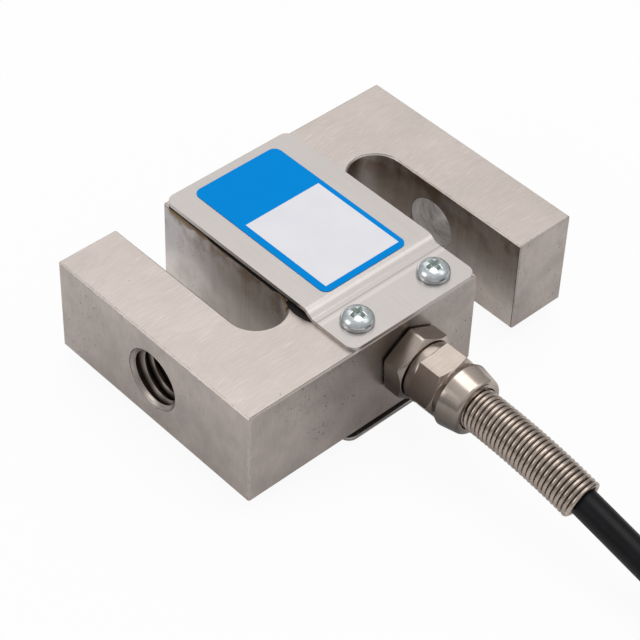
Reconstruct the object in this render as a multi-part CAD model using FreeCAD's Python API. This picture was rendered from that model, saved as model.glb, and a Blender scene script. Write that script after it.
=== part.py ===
import FreeCAD, Part
import math
import os

V = FreeCAD.Vector
X_AXIS, Y_AXIS, Z_AXIS = V(1, 0, 0), V(0, 1, 0), V(0, 0, 1)

# S type load cell. Millimetres. +Z is up, X is the load direction, and the origin is on the
# surface that the cell lies on, under the middle of the steel body.

# ---------------------------------------------------------------- driving dimensions

# Body: one block of nickel-plated steel, slotted from both sides into an S.
body_length = 76.0  # along X, between the two threaded ends
body_width = 50.0  # along Y
body_thickness = 20.0  # along Z
bar_thickness = 12.75  # each end bar, along X
slot_width = 10.8
slot_depth = 36.3  # from the open side to the tip of the round end
edge_bevel = 0.3

# Threaded bores in the end bars. The wall is at the thread's major radius.
thread_radius = 6.0  # M12
thread_mouth_bevel = 0.15
far_bore_side = -3.3  # the far bore stands this far to the side of the near one,
far_bore_rise = 1.0  # and this much higher
tap_core_radius = 5.2  # drilled core that the far thread stops short of
tap_core_length = 3.0

# Sensing web: blind pockets from above and below leave a thin web between them.
pocket_radius = 11.0
web_thickness = 1.2

# Covers: one pressed sheet, used twice, with a joggle down to a screwed tab.
sheet = 0.8
cover_raise = 1.2  # how far the raised part's underside stands off the body
cover_end_gap = 1.2  # from the cover's raised end to the body's edge
cover_width = 29.4
cover_shift = -0.45  # sideways seat of both covers, along X
seal_land = 2.05  # from the pocket's edge to the joggle's upper bend
joggle_run = 1.6
cover_corner = 2.0
bend_radius = 0.5

# Seals: black rubber sheet under the raised part of each cover.
seal_inset = 0.6  # behind the cover's outline
seal_foot_gap = 0.15  # from the joggle's lower bend
seal_hole_margin = 0.3  # around the pocket

# Cover screws: M3 pan head with a cross recess.
screw_side_inset = 5.7  # from the cover's long edges
screw_inset = 4.8  # from the tab's free edge
screw_shift = -0.25  # of the pair from the cover's middle, along X
screw_thread_radius = 1.5
screw_length = 6.0
screw_head_radius = 3.0
screw_head_height = 2.4
screw_head_wall = 1.0  # straight side of the head, under its crown
screw_crown = ((0.93, 0.42), (0.72, 0.78), (0.38, 1.0))  # shares of the radius and the height
screw_tip_bevel = 0.4
screw_hole_slack = 1.0  # depth of the hole past the screw's end
thread_clearance = 0.05  # of a thread's crests from its hole
cover_hole_radius = 1.7
recess_span = 3.3
recess_slot = 0.75
recess_depth = 1.3

# Label on the top cover.
label_length = 34.6
label_width = 19.6
label_gap = 0.5  # from the label to the joggle's upper bend
label_thickness = 0.12
label_corner = 1.6

# Cable gland: a hexagon body screwed into the body's side, and a domed clamping nut.
gland_x = -1.7
gland_rise = 1.05  # of the gland's axis above the body's mid-thickness
gland_thread_radius = 5.0  # M10 x 1
gland_spigot_length = 7.5
gland_hole_slack = 0.6  # depth of the threaded hole past the spigot
gland_seal_thickness = 0.35
gland_seal_radius = 5.85
gland_hex_flats = 12.0
gland_hex_corner_radius = 6.78
gland_hex_length = 4.05
gland_hex_turn_deg = 4.0  # from two corners straight up and down
gland_hex_chamfer = 0.8  # of the hexagon's corners, along the axis
gland_neck_length = 5.6
gland_neck_radius = 4.9
gland_bore_clearance = 0.25  # around the cable
bush_radius = 3.95
bush_length = 4.6
bush_proud = 0.4  # how far the bush stands out of the neck
washer_thickness = 0.6
washer_radius = 4.7
nut_gap = 0.3  # between the gland body's hexagon and the nut
nut_length = 12.25
nut_collar_radius = 5.68
nut_collar_length = 1.5
nut_hex_flats = 11.14
nut_hex_length = 5.1  # with the chamfer of its outer end
nut_hex_turn_deg = 34.0
nut_chamfer_deg = 30.0  # from the plane across the axis
nut_waist_radius = 5.5  # where the hexagon's chamfer meets the dome
nut_shoulder_radius = 6.15  # widest circle of the dome
nut_shoulder_length = 1.4  # from the waist to the shoulder
nut_lip_radius = 5.35  # where the dome's taper ends
nut_lip_round = 0.9
nut_mouth_radius = 4.15
nut_lip_length = 1.1

# Spring strain relief: close-wound wire, held behind the nut's lip by two wider turns.
spring_outer_radius = 4.0
spring_flare = 0.6
spring_wire = 0.8
spring_pitch = 0.92
spring_turns = 33
spring_flare_turns = 2
spring_straight_turns = 6  # inside the nut
spring_droop_deg = 12.4

# Cable: round black jacket with four cores and a shield wire.
cable_radius = 2.7
channel_clearance = 0.5  # around the cable, in the body
jacket_setback = 4.0  # of the jacket's end from the pocket's edge
core_radius = 0.5
core_circle = 1.3  # the cores stand on this circle where they leave the jacket

# Strain gauges and terminal board on the web.
gauge_side = 8.0
gauge_thickness = 0.12
coating_margin = 0.4  # of the soft coating around the gauge
coating_height = 0.9
board_length = 11.0
board_width = 4.0
board_thickness = 0.8
board_offset = 7.2  # of the board's middle from the web's middle, along +Y
core_angles_deg = (135, 225, 315, 45)  # of the cores in the jacket
core_seats = (-4.2, -1.8, 0.6, 3.0)  # X of the cores' soldered ends on the board
jumper_seats = (-3.0, -0.6, 1.8)  # X of the jumpers from the upper gauge to the board
jumper_width = 0.4
jumper_thickness = 0.15
resistor_radius = 0.7
resistor_length = 3.6
resistor_spacing = 5.0
wire_bundle_radius = 0.45
web_hole_radius = 1.1
web_hole_x = 7.3

# Put-away coil of the cable, and the ties that hold it.
coil_x = 35.0
coil_y = -119.0
coil_mid_radius = 31.0
coil_pitch = 5.5  # turn to turn, across and up
coil_rows = 3
coil_layers = 3
tail_start_deg = 95.0  # where the last turn begins to climb on to the coil
tail_step_deg = 20.0
tail_steps = 5
tie_thickness = 0.8
tie_width = 3.0
tie_clearance = 0.1  # beside the coil
tie_head = V(3.2, 4.4, 5.0)
tie_angles_deg = (70.0, 290.0)

# Stripped end of the cable, on top of the coil.
sleeve_radius = 3.1
sleeve_length = 12.0
sleeve_lap = 5.5  # how much of the sleeve is on the jacket
lead_radius = 0.48
lead_pitch = 1.24  # side by side at the sleeve's mouth
lead_spread = 2.6  # side by side where they end
lead_tip_radius = 0.35
lead_tip_length = 5.0

# ---------------------------------------------------------------- levels and stations

half_length = body_length / 2
half_width = body_width / 2
body_bottom = sheet + screw_head_height
body_middle = body_bottom + body_thickness / 2
body_top = body_bottom + body_thickness
web_top = body_middle + web_thickness / 2
web_bottom = body_middle - web_thickness / 2

slot_radius = slot_width / 2
near_bore = V(-half_length, 0, body_middle)
far_bore = V(half_length, far_bore_side, body_middle + far_bore_rise)

cover_end = half_width - cover_end_gap
cover_turn_y = (cover_end - half_width) / 2
lower_bend = -pocket_radius - seal_land - joggle_run  # Y of the joggle on the underside
upper_bend = lower_bend + joggle_run
bend_setback = sheet * math.tan(math.atan2(cover_raise, joggle_run) / 2)
screw_spacing = cover_width - 2 * screw_side_inset
tab_screws = [
    V(cover_shift + screw_shift + side * screw_spacing / 2, screw_inset - half_width, 0)
    for side in (-1, 1)
]

gland_z = body_middle + gland_rise
gland_foot = -half_width - gland_seal_thickness  # rear face of the gland body's hexagon
gland_face = gland_foot - gland_hex_length
neck_end = gland_face - gland_neck_length
bush_end = neck_end - bush_proud
washer_end = bush_end - washer_thickness
nut_start = gland_face - nut_gap
nut_end = nut_start - nut_length
spring_start = washer_end
cable_exit = spring_start - spring_straight_turns * spring_pitch
jacket_start = -pocket_radius - jacket_setback

coil_floor = tie_thickness
coil_top = coil_floor + coil_layers * coil_pitch
coil_inner = coil_mid_radius - coil_rows * coil_pitch / 2
coil_outer = coil_mid_radius + coil_rows * coil_pitch / 2
coil_entry = V(coil_x - coil_outer + coil_pitch / 2, coil_y, coil_floor + coil_pitch / 2)
tail_z = coil_top + sleeve_radius

board_top = web_top + board_thickness
coating_side = gauge_side / 2 + coating_margin

# The cable's route from the gland to the coil, chosen by hand: out of the nut along the
# spring's droop, down to the surface, and along it to the coil's outer turn.
cable_route = [
    V(gland_x, cable_exit, gland_z),
    V(gland_x, -48.3, gland_z),
    V(-1.7, -60.4, 12.94),
    V(-1.7, -73.5, 10.06),
    V(-1.65, -84.5, 7.5),
    V(-1.6, -93.5, 5.3),
]
# The coil's solid takes the cable over at the middle of the run between the two lists.
coil_lead_in = [V(-1.52, -101.0, 4.0), V(-1.5, -106.0, coil_entry.z)]
coil_start = (cable_route[-1] + coil_lead_in[0]) / 2


# ---------------------------------------------------------------- shape helpers

def block(low, high):
    """A box between two corners."""
    size = high - low
    return Part.makeBox(size.x, size.y, size.z, low)


def rounded_plate(low, high, corner):
    """A plate between two corners, with its four upright edges rounded."""
    plate = block(low, high)
    upright = [e for e in plate.Edges if abs(e.tangentAt(e.FirstParameter).z) > 0.99]
    return plate.makeFillet(corner, upright)


def turned(profile, foot, direction):
    """A solid of revolution. The profile is (radius, station) pairs, and stations run from
    the foot along the direction."""
    points = [V(radius, 0, station) for radius, station in profile]
    face = Part.Face(Part.makePolygon(points + points[:1]))
    solid = face.revolve(V(0, 0, 0), Z_AXIS, 360)
    solid.Placement = FreeCAD.Placement(foot, FreeCAD.Rotation(Z_AXIS, direction))
    return solid


def hexagon(flats, foot, direction, length, turn_deg):
    """A hexagonal bar. At a turn of 0 about Y, two of its corners point up and down."""
    corner = flats / 2 / math.cos(math.radians(30))
    points = []
    for step in range(7):
        angle = math.radians(90 + 60 * step + turn_deg)
        points.append(foot + V(corner * math.cos(angle), 0, corner * math.sin(angle)))
    return Part.Face(Part.makePolygon(points)).extrude(direction * length)


def round_edges(solid, radius, wanted):
    """Rounds the edges that the test picks."""
    return solid.makeFillet(radius, [e for e in solid.Edges if wanted(e)])


def bent_path(points, name=None):
    """Straight runs joined by tangent arcs, each as large as its two runs allow."""
    edges = []
    start = points[0]
    radii = []
    for before, corner, after in zip(points, points[1:], points[2:]):
        arriving = (corner - before).normalize()
        leaving = (after - corner).normalize()
        half_turn = arriving.getAngle(leaving) / 2
        shorter = min((corner - before).Length, (after - corner).Length)
        tangent = 0.45 * shorter
        radius = tangent / math.tan(half_turn)
        inward = (leaving - arriving).normalize()
        middle = corner + inward * (radius / math.cos(half_turn) - radius)
        arc_start = corner - arriving * tangent
        arc_end = corner + leaving * tangent
        edges.append(Part.LineSegment(start, arc_start).toShape())
        edges.append(Part.Arc(arc_start, middle, arc_end).toShape())
        start = arc_end
        radii.append(radius)
    edges.append(Part.LineSegment(start, points[-1]).toShape())
    if name:
        print(name, "bend radii", [round(radius, 1) for radius in radii])
    return Part.Wire(edges)


def tube(points, radius, name=None):
    """A solid round tube along the bent path."""
    path = bent_path(points, name)
    section = Part.Wire(Part.makeCircle(radius, points[0], points[1] - points[0]))
    solid = path.makePipeShell([section], True, True)
    if name:
        expected = math.pi * radius**2 * path.Length
        print(name, "length", round(path.Length, 1), "volume ratio", round(solid.Volume / expected, 4))
    return solid


def turned_over(shape):
    """The same piece on the underside: half a turn about a line along X through the covers."""
    copy = shape.copy()
    copy.rotate(V(0, cover_turn_y, body_middle), X_AXIS, 180)
    return copy


# ---------------------------------------------------------------- body

def slotted_block():
    """The S: a block with a round-ended slot from each side, all edges bevelled."""
    solid = block(V(-half_length, -half_width, body_bottom), V(half_length, half_width, body_top))
    for side in (-1, 1):
        opening = -side  # the near slot opens on +Y, and the far one on -Y
        middle_x = side * (half_length - bar_thickness - slot_radius)
        round_y = opening * (half_width - slot_depth + slot_radius)
        open_y = opening * (half_width + slot_radius)
        low = V(middle_x - slot_radius, min(round_y, open_y), body_bottom)
        high = V(middle_x + slot_radius, max(round_y, open_y), body_top)
        end = Part.makeCylinder(slot_radius, body_thickness, V(middle_x, round_y, body_bottom))
        solid = solid.cut(block(low, high).fuse(end))
    solid = solid.removeSplitter()
    return solid.makeChamfer(edge_bevel, solid.Edges)


def threaded_bore(mouth, inward, depth):
    """A bore at the thread's major radius, with a bevelled mouth."""
    profile = [
        (0, -1),
        (thread_radius + thread_mouth_bevel + 1, -1),
        (thread_radius, thread_mouth_bevel),
        (thread_radius, depth),
        (0, depth),
    ]
    return turned(profile, mouth, inward)


def sensing_web():
    """The thin round web between the two pockets."""
    return Part.makeCylinder(pocket_radius, web_thickness, V(0, 0, web_bottom))


def body():
    """The slotted block with its bores, pockets, gland hole, wire channel and screw holes."""
    solid = slotted_block()
    solid = solid.cut(threaded_bore(near_bore, X_AXIS, bar_thickness + 1))
    solid = solid.cut(threaded_bore(far_bore, -X_AXIS, bar_thickness - tap_core_length))
    solid = solid.cut(Part.makeCylinder(tap_core_radius, bar_thickness + 1, far_bore, -X_AXIS))
    pocket_depth = (body_thickness - web_thickness) / 2
    for floor_z in (web_top, body_bottom):
        solid = solid.cut(Part.makeCylinder(pocket_radius, pocket_depth, V(0, 0, floor_z)))
    web_hole = Part.makeCylinder(web_hole_radius, body_thickness, V(web_hole_x, 0, body_bottom))
    solid = solid.cut(web_hole)

    side_hole = V(gland_x, -half_width, gland_z)
    hole_depth = gland_spigot_length - gland_seal_thickness + gland_hole_slack
    solid = solid.cut(Part.makeCylinder(gland_thread_radius, hole_depth, side_hole, Y_AXIS))
    channel_radius = cable_radius + channel_clearance
    channel_depth = half_width - pocket_radius + channel_radius
    channel = Part.makeCylinder(channel_radius, channel_depth, side_hole, Y_AXIS)
    solid = solid.cut(channel.cut(sensing_web()))

    hole_depth = screw_length - sheet + screw_hole_slack
    for place in tab_screws:
        mouth = V(place.x, place.y, body_top)
        hole = Part.makeCylinder(screw_thread_radius, hole_depth, mouth, -Z_AXIS)
        solid = solid.cut(hole).cut(turned_over(hole))
    return solid


# ---------------------------------------------------------------- covers, seals and label

def cover():
    """Pressed sheet: a tab on the body, a joggle, and a raised part over the pocket."""
    low, high = body_top, body_top + cover_raise
    side_x = cover_shift - cover_width / 2
    outline = [
        V(side_x, -half_width, low),
        V(side_x, lower_bend, low),
        V(side_x, upper_bend, high),
        V(side_x, cover_end, high),
        V(side_x, cover_end, high + sheet),
        V(side_x, upper_bend - bend_setback, high + sheet),
        V(side_x, lower_bend - bend_setback, low + sheet),
        V(side_x, -half_width, low + sheet),
    ]
    solid = Part.Face(Part.makePolygon(outline + outline[:1])).extrude(X_AXIS * cover_width)
    inside_bends = (V(0, upper_bend, high), V(0, lower_bend - bend_setback, low + sheet))
    outside_bends = (V(0, upper_bend - bend_setback, high + sheet), V(0, lower_bend, low))
    for corners, radius in ((inside_bends, bend_radius), (outside_bends, bend_radius + sheet)):
        solid = round_edges(solid, radius, lambda e: along_x_at(e, corners))
    solid = round_edges(solid, cover_corner, is_cover_corner)
    for place in tab_screws:
        hole_foot = V(place.x, place.y, body_top - sheet)
        solid = solid.cut(Part.makeCylinder(cover_hole_radius, 3 * sheet, hole_foot))
    return solid


def along_x_at(edge, corners):
    """True for a straight edge along X that passes one of the corners."""
    middle = edge.CenterOfMass
    straight = abs(edge.Length - cover_width) < 0.01
    return straight and any(math.hypot(middle.y - c.y, middle.z - c.z) < 0.01 for c in corners)


def is_cover_corner(edge):
    """True for the four short upright edges at the sheet's corners in plan."""
    upright = abs(edge.Length - sheet) < 0.01
    at_end = min(abs(edge.CenterOfMass.y + half_width), abs(edge.CenterOfMass.y - cover_end)) < 0.01
    return upright and at_end


def seal(hole_y):
    """Rubber sheet under the cover's raised part, with a foot that follows the joggle."""
    side_x = cover_shift - cover_width / 2 + seal_inset
    foot = lower_bend + seal_foot_gap
    outline = [
        V(side_x, foot, body_top),
        V(side_x, foot + joggle_run, body_top + cover_raise),
        V(side_x, cover_end - seal_inset, body_top + cover_raise),
        V(side_x, cover_end - seal_inset, body_top),
    ]
    width = cover_width - 2 * seal_inset
    solid = Part.Face(Part.makePolygon(outline + outline[:1])).extrude(X_AXIS * width)
    hole_radius = pocket_radius + seal_hole_margin
    return solid.cut(Part.makeCylinder(hole_radius, cover_raise, V(0, hole_y, body_top)))


def label():
    """Printed label stuck on the top cover's raised part."""
    near_y = upper_bend - bend_setback + label_gap
    z = body_top + cover_raise + sheet
    low = V(cover_shift - label_width / 2, near_y, z)
    high = V(cover_shift + label_width / 2, near_y + label_length, z + label_thickness)
    return rounded_plate(low, high, label_corner)


def screw(place):
    """M3 pan head screw with a cross recess, standing in the top cover's tab."""
    seat = V(place.x, place.y, body_top + sheet)
    shank_radius = screw_thread_radius - thread_clearance
    crown_height = screw_head_height - screw_head_wall
    profile = [
        (0, -screw_length),
        (shank_radius - screw_tip_bevel, -screw_length),
        (shank_radius, screw_tip_bevel - screw_length),
        (shank_radius, 0),
        (screw_head_radius, 0),
        (screw_head_radius, screw_head_wall),
    ]
    profile += [
        (screw_head_radius * across, screw_head_wall + crown_height * up)
        for across, up in screw_crown
    ]
    profile.append((0, screw_head_height))
    solid = turned(profile, seat, Z_AXIS)
    recess_floor = seat + Z_AXIS * (screw_head_height - recess_depth)
    for along, across in ((recess_span, recess_slot), (recess_slot, recess_span)):
        low = recess_floor - V(along / 2, across / 2, 0)
        solid = solid.cut(block(low, low + V(along, across, recess_depth + 1)))
    return solid


# ---------------------------------------------------------------- gland and strain relief

def gland_seal():
    """Flat rubber ring between the gland and the body."""
    foot = V(gland_x, -half_width, gland_z)
    ring = Part.makeCylinder(gland_seal_radius, gland_seal_thickness, foot, -Y_AXIS)
    return ring.cut(Part.makeCylinder(gland_thread_radius, gland_seal_thickness, foot, -Y_AXIS))


def gland_body():
    """Nickel-plated brass: a threaded spigot, a chamfered hexagon and a plain neck."""
    foot = V(gland_x, gland_foot, gland_z)
    hex_bar = hexagon(gland_hex_flats, foot, -Y_AXIS, gland_hex_length, gland_hex_turn_deg)
    corner = gland_hex_corner_radius
    envelope = turned(
        [
            (0, 0),
            (corner, 0),
            (corner, gland_hex_length - gland_hex_chamfer),
            (gland_hex_flats / 2 - 0.1, gland_hex_length),
            (0, gland_hex_length),
        ],
        foot,
        -Y_AXIS,
    )
    solid = hex_bar.common(envelope)
    spigot_radius = gland_thread_radius - thread_clearance
    solid = solid.fuse(Part.makeCylinder(spigot_radius, gland_spigot_length, foot, Y_AXIS))
    face = V(gland_x, gland_face, gland_z)
    solid = solid.fuse(Part.makeCylinder(gland_neck_radius, gland_neck_length, face, -Y_AXIS))
    bore_radius = cable_radius + gland_bore_clearance
    bore_start = foot + Y_AXIS * gland_spigot_length
    bore_length = gland_spigot_length + gland_hex_length + gland_neck_length
    solid = solid.cut(Part.makeCylinder(bore_radius, bore_length, bore_start, -Y_AXIS))
    seat_depth = bush_length - bush_proud
    seat = V(gland_x, neck_end, gland_z)
    return solid.cut(Part.makeCylinder(bush_radius, seat_depth, seat, Y_AXIS)).removeSplitter()


def clamp_bush():
    """Rubber bush that the nut squeezes onto the cable."""
    start = V(gland_x, bush_end, gland_z)
    bush = Part.makeCylinder(bush_radius, bush_length, start, Y_AXIS)
    return bush.cut(Part.makeCylinder(cable_radius, bush_length, start, Y_AXIS))


def thrust_washer():
    """Flat washer between the bush and the spring."""
    start = V(gland_x, bush_end, gland_z)
    washer = Part.makeCylinder(washer_radius, washer_thickness, start, -Y_AXIS)
    bore_radius = cable_radius + gland_bore_clearance
    return washer.cut(Part.makeCylinder(bore_radius, washer_thickness, start, -Y_AXIS))


def gland_nut():
    """Domed clamping nut: collar, chamfered hexagon, flared shoulder, taper and rounded lip."""
    foot = V(gland_x, nut_start, gland_z)
    hex_start = nut_collar_length
    hex_end = hex_start + nut_hex_length
    corner = nut_hex_flats / 2 / math.cos(math.radians(30))
    chamfer = (corner - nut_waist_radius) * math.tan(math.radians(nut_chamfer_deg))
    bar_foot = foot - Y_AXIS * hex_start
    bar = hexagon(nut_hex_flats, bar_foot, -Y_AXIS, nut_hex_length, nut_hex_turn_deg)
    envelope = turned(
        [
            (0, hex_start),
            (corner, hex_start),
            (corner, hex_end - chamfer),
            (nut_waist_radius, hex_end),
            (0, hex_end),
        ],
        foot,
        -Y_AXIS,
    )
    rounds = [
        (0, 0),
        (nut_collar_radius, 0),
        (nut_collar_radius, hex_start),
        (nut_waist_radius, hex_start),
        (nut_waist_radius, hex_end),
        (nut_shoulder_radius, hex_end + nut_shoulder_length),
        (nut_lip_radius, nut_length),
        (0, nut_length),
    ]
    shell = turned(rounds, foot, -Y_AXIS)
    shell = round_edges(shell, nut_lip_round, lambda e: is_ring(e, nut_end, nut_lip_radius))
    solid = shell.fuse(bar.common(envelope))
    chamber = [
        (0, 0),
        (gland_thread_radius, 0),
        (gland_thread_radius, nut_length - nut_lip_length),
        (nut_mouth_radius, nut_length - nut_lip_length),
        (nut_mouth_radius, nut_length),
        (0, nut_length),
    ]
    return solid.cut(turned(chamber, foot, -Y_AXIS)).removeSplitter()


def is_ring(edge, station, radius):
    """True for a full circle about the gland's axis at a station along Y."""
    if edge.Curve.TypeId != "Part::GeomCircle":
        return False
    return abs(edge.Curve.Center.y - station) < 0.01 and abs(edge.Curve.Radius - radius) < 0.01


def spring_frame(distance):
    """The place and turn of the spring's section at a distance from its inner end: straight
    inside the nut, and then one even bend down to the droop angle."""
    straight = spring_straight_turns * spring_pitch
    bent = (spring_turns - spring_straight_turns) * spring_pitch
    droop = math.radians(spring_droop_deg)
    bend_radius_here = bent / droop
    if distance <= straight:
        place = V(gland_x, spring_start - distance, gland_z)
        angle = 0.0
    else:
        angle = (distance - straight) / bend_radius_here
        out = bend_radius_here * math.sin(angle)
        down = bend_radius_here * (1 - math.cos(angle))
        place = V(gland_x, spring_start - straight - out, gland_z - down)
    return FreeCAD.Placement(place, FreeCAD.Rotation(X_AXIS, 90 + math.degrees(angle)))


def spring_section(distance, radius):
    """A circle across the spring at a distance from its inner end."""
    circle = Part.makeCircle(radius)
    circle.Placement = spring_frame(distance)
    return Part.Wire(circle)


def spring_strain_relief():
    """Close-wound spring: one sleeve with a ridge for each turn, drooping with the cable."""
    groove = spring_outer_radius - spring_wire * 0.35
    sections = []
    for turn in range(spring_turns):
        flare = spring_flare if turn < spring_flare_turns else 0.0
        start = turn * spring_pitch
        sections.append(spring_section(start, groove + flare))
        sections.append(spring_section(start + spring_pitch * 0.3, spring_outer_radius + flare))
        sections.append(spring_section(start + spring_pitch * 0.7, spring_outer_radius + flare))
    total = spring_turns * spring_pitch
    sections.append(spring_section(total, groove))
    sleeve = Part.makeLoft(sections, True, True)
    steps = 8
    inner = spring_outer_radius - spring_wire
    bore_sections = [spring_section(total * step / steps, inner) for step in range(steps + 1)]
    return sleeve.cut(Part.makeLoft(bore_sections, True, True))


# ---------------------------------------------------------------- gauges and inner wiring

def on_underside(shape):
    """The same piece on the web's underside: half a turn about a line along X."""
    copy = shape.copy()
    copy.rotate(V(0, 0, body_middle), X_AXIS, 180)
    return copy


def shear_gauge():
    """Foil strain gauge glued to the web's upper face."""
    corner = V(-gauge_side / 2, -gauge_side / 2, web_top)
    return Part.makeBox(gauge_side, gauge_side, gauge_thickness, corner)


def gauge_coating():
    """Soft protective coating moulded over the gauge."""
    low = V(-coating_side, -coating_side, web_top)
    high = V(coating_side, coating_side, web_top + coating_height)
    return rounded_plate(low, high, 1.0).cut(shear_gauge())


def terminal_board():
    """Small circuit board that joins the gauge wires to the cable's cores."""
    low = V(-board_length / 2, board_offset - board_width / 2, web_top)
    return block(low, low + V(board_length, board_width, board_thickness))


def trim_resistor(side):
    """Small resistor soldered across the terminal board."""
    start = V(
        side * resistor_spacing / 2 - resistor_length / 2,
        board_offset + board_width / 2 - resistor_radius - 0.2,
        board_top + resistor_radius,
    )
    return Part.makeCylinder(resistor_radius, resistor_length, start, X_AXIS)


def inner_core(number):
    """One core, from the jacket's end, over the coated gauge, to its seat on the board."""
    angle = math.radians(core_angles_deg[number])
    start_x = gland_x + core_circle * math.cos(angle)
    start_z = gland_z + core_circle * math.sin(angle)
    seat_x = core_seats[number]
    seat_z = board_top + core_radius
    over_z = web_top + coating_height + 3 * core_radius
    rim_z = (start_z + over_z) / 2
    board_edge = board_offset - board_width / 2
    return tube(
        [
            V(start_x, jacket_start, start_z),
            V(start_x, jacket_start + 3 * core_radius, start_z),
            V(start_x + (seat_x - start_x) * 0.35, -pocket_radius + core_radius, rim_z),
            V(seat_x, -2 * core_radius, over_z),
            V(seat_x, board_edge + core_radius, seat_z),
            V(seat_x, board_edge + 4 * core_radius, seat_z),
        ],
        core_radius,
    )


def upper_gauge_jumpers():
    """Flat copper jumpers from the upper gauge to the board, as one group of solids."""
    low_z, high_z = web_top + 0.35, board_top
    board_edge = board_offset - board_width / 2
    rise_y = (coating_side + board_edge) / 2
    outline = [
        (coating_side, low_z),
        (rise_y, low_z),
        (rise_y, high_z),
        (board_edge + 0.8, high_z),
        (board_edge + 0.8, high_z + jumper_thickness),
        (rise_y - jumper_thickness, high_z + jumper_thickness),
        (rise_y - jumper_thickness, low_z + jumper_thickness),
        (coating_side, low_z + jumper_thickness),
    ]
    jumpers = []
    for seat_x in jumper_seats:
        points = [V(seat_x - jumper_width / 2, y, z) for y, z in outline]
        face = Part.Face(Part.makePolygon(points + points[:1]))
        jumpers.append(face.extrude(X_AXIS * jumper_width))
    return Part.makeCompound(jumpers)


def lower_gauge_wires():
    """Bundle from the lower gauge, up through the web's small hole, to the board."""
    low_z = web_bottom - 0.6
    high_z = board_top + wire_bundle_radius
    points = [
        V(coating_side, 0, low_z),
        V(web_hole_x, 0, low_z),
        V(web_hole_x, 0, high_z),
        V(board_length / 2 - 0.9, board_offset - 1.2, high_z),
    ]
    return tube(points, wire_bundle_radius)


# ---------------------------------------------------------------- cable

def cable_entry():
    """The cable inside the cell: from the pocket, through the gland, to the nut's mouth."""
    start = V(gland_x, jacket_start, gland_z)
    return Part.makeCylinder(cable_radius, jacket_start - cable_exit, start, -Y_AXIS)


def free_cable():
    """The cable from the nut's mouth to the coil."""
    return tube(cable_route + [coil_start], cable_radius, "cable")


def on_coil(angle_deg, z, outward=0.0):
    """A point over the coil's middle turn, at an angle about the coil's axis."""
    angle = math.radians(angle_deg)
    radius = coil_mid_radius + outward
    return V(coil_x + radius * math.cos(angle), coil_y + radius * math.sin(angle), z)


def tail_route():
    """The cable's last stretch, climbing out of the top layer and lying round on it."""
    heights = [coil_top - cable_radius, coil_top - cable_radius / 3]
    heights += [tail_z] * (tail_steps - 1)
    return [
        on_coil(tail_start_deg + tail_step_deg * step, height)
        for step, height in enumerate(heights)
    ]


def coil_outline(beside, over):
    """The coil's section in the XZ plane, with bevelled corners, grown beside and above."""
    low_x, high_x = coil_inner - beside, coil_outer + beside
    low_z, high_z = coil_floor - over, coil_top + over
    corner = (cable_radius + over) * (2 - math.sqrt(2))
    points = [
        V(low_x + corner, 0, low_z),
        V(high_x - corner, 0, low_z),
        V(high_x, 0, low_z + corner),
        V(high_x, 0, high_z - corner),
        V(high_x - corner, 0, high_z),
        V(low_x + corner, 0, high_z),
        V(low_x, 0, high_z - corner),
        V(low_x, 0, low_z + corner),
    ]
    return Part.Face(Part.makePolygon(points + points[:1]))


def cable_coil():
    """The outer shape of the put-away turns, with the lead-in and the loose tail."""
    ring = coil_outline(0, 0).revolve(V(0, 0, 0), Z_AXIS, 360)
    ring.translate(V(coil_x, coil_y, 0))
    lead_in = tube([coil_start] + coil_lead_in + [coil_entry], cable_radius)
    return ring.fuse([lead_in, tube(tail_route(), cable_radius)])


def coil_tie(angle_deg):
    """Plastic tie: a strap round the coil's section, with its head on the outer side."""
    beside = tie_clearance + tie_thickness
    strap = coil_outline(beside, tie_thickness).cut(coil_outline(tie_clearance, 0))
    strap = strap.extrude(Y_AXIS * tie_width)
    strap.translate(Y_AXIS * (-tie_width / 2))
    head_low = V(
        coil_outer + beside - tie_thickness / 2,
        -tie_head.y / 2,
        (coil_floor + coil_top - tie_head.z) / 2,
    )
    tie = strap.fuse(block(head_low, head_low + tie_head))
    tie.rotate(V(0, 0, 0), Z_AXIS, angle_deg)
    tie.translate(V(coil_x, coil_y, 0))
    return tie


# ---------------------------------------------------------------- stripped cable end

def tail_end():
    """The place where the jacket ends, and the direction it points in."""
    before, end = tail_route()[-2:]
    return end, (end - before).normalize()


def end_sleeve():
    """Heat-shrink sleeve over the jacket's end and the start of the leads."""
    end, along = tail_end()
    sleeve = Part.makeCylinder(sleeve_radius, sleeve_length, end - along * sleeve_lap, along)
    return sleeve.cut(Part.makeCylinder(cable_radius, sleeve_lap, end - along * sleeve_lap, along))


def lead_route(place):
    """One lead, from the sleeve's mouth down on to the coil, and round with it.
    Places count from -2 on the coil's inner side to 2 on its outer side."""
    end, along = tail_end()
    outward = V(along.y, -along.x, 0)
    start = end + along * (sleeve_length - sleeve_lap) + outward * (place * lead_pitch)
    mouth_deg = tail_start_deg + tail_step_deg * tail_steps + 12
    rest_z = coil_top + lead_radius
    return [
        start,
        start + along,
        on_coil(mouth_deg + 14, rest_z + 1, place * (lead_pitch + 0.26) + 1.2),
        on_coil(mouth_deg + 31, rest_z, place * (lead_pitch + lead_spread) / 2),
        on_coil(mouth_deg + 48, rest_z, place * lead_spread),
    ]


def lead(place):
    """Insulated lead, up to its bare end."""
    return tube(lead_route(place), lead_radius)


def lead_tips():
    """Tinned copper ends of the leads, as one group of separate solids."""
    tips = []
    for place in lead_places.values():
        before, end = lead_route(place)[-2:]
        along = (end - before).normalize()
        tips.append(Part.makeCylinder(lead_tip_radius, lead_tip_length, end, along))
    return Part.makeCompound(tips)


lead_places = {"lead_red": -2, "lead_black": -1, "lead_green": 0, "lead_white": 1, "shield_wire": 2}


# ---------------------------------------------------------------- the whole cell

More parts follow.
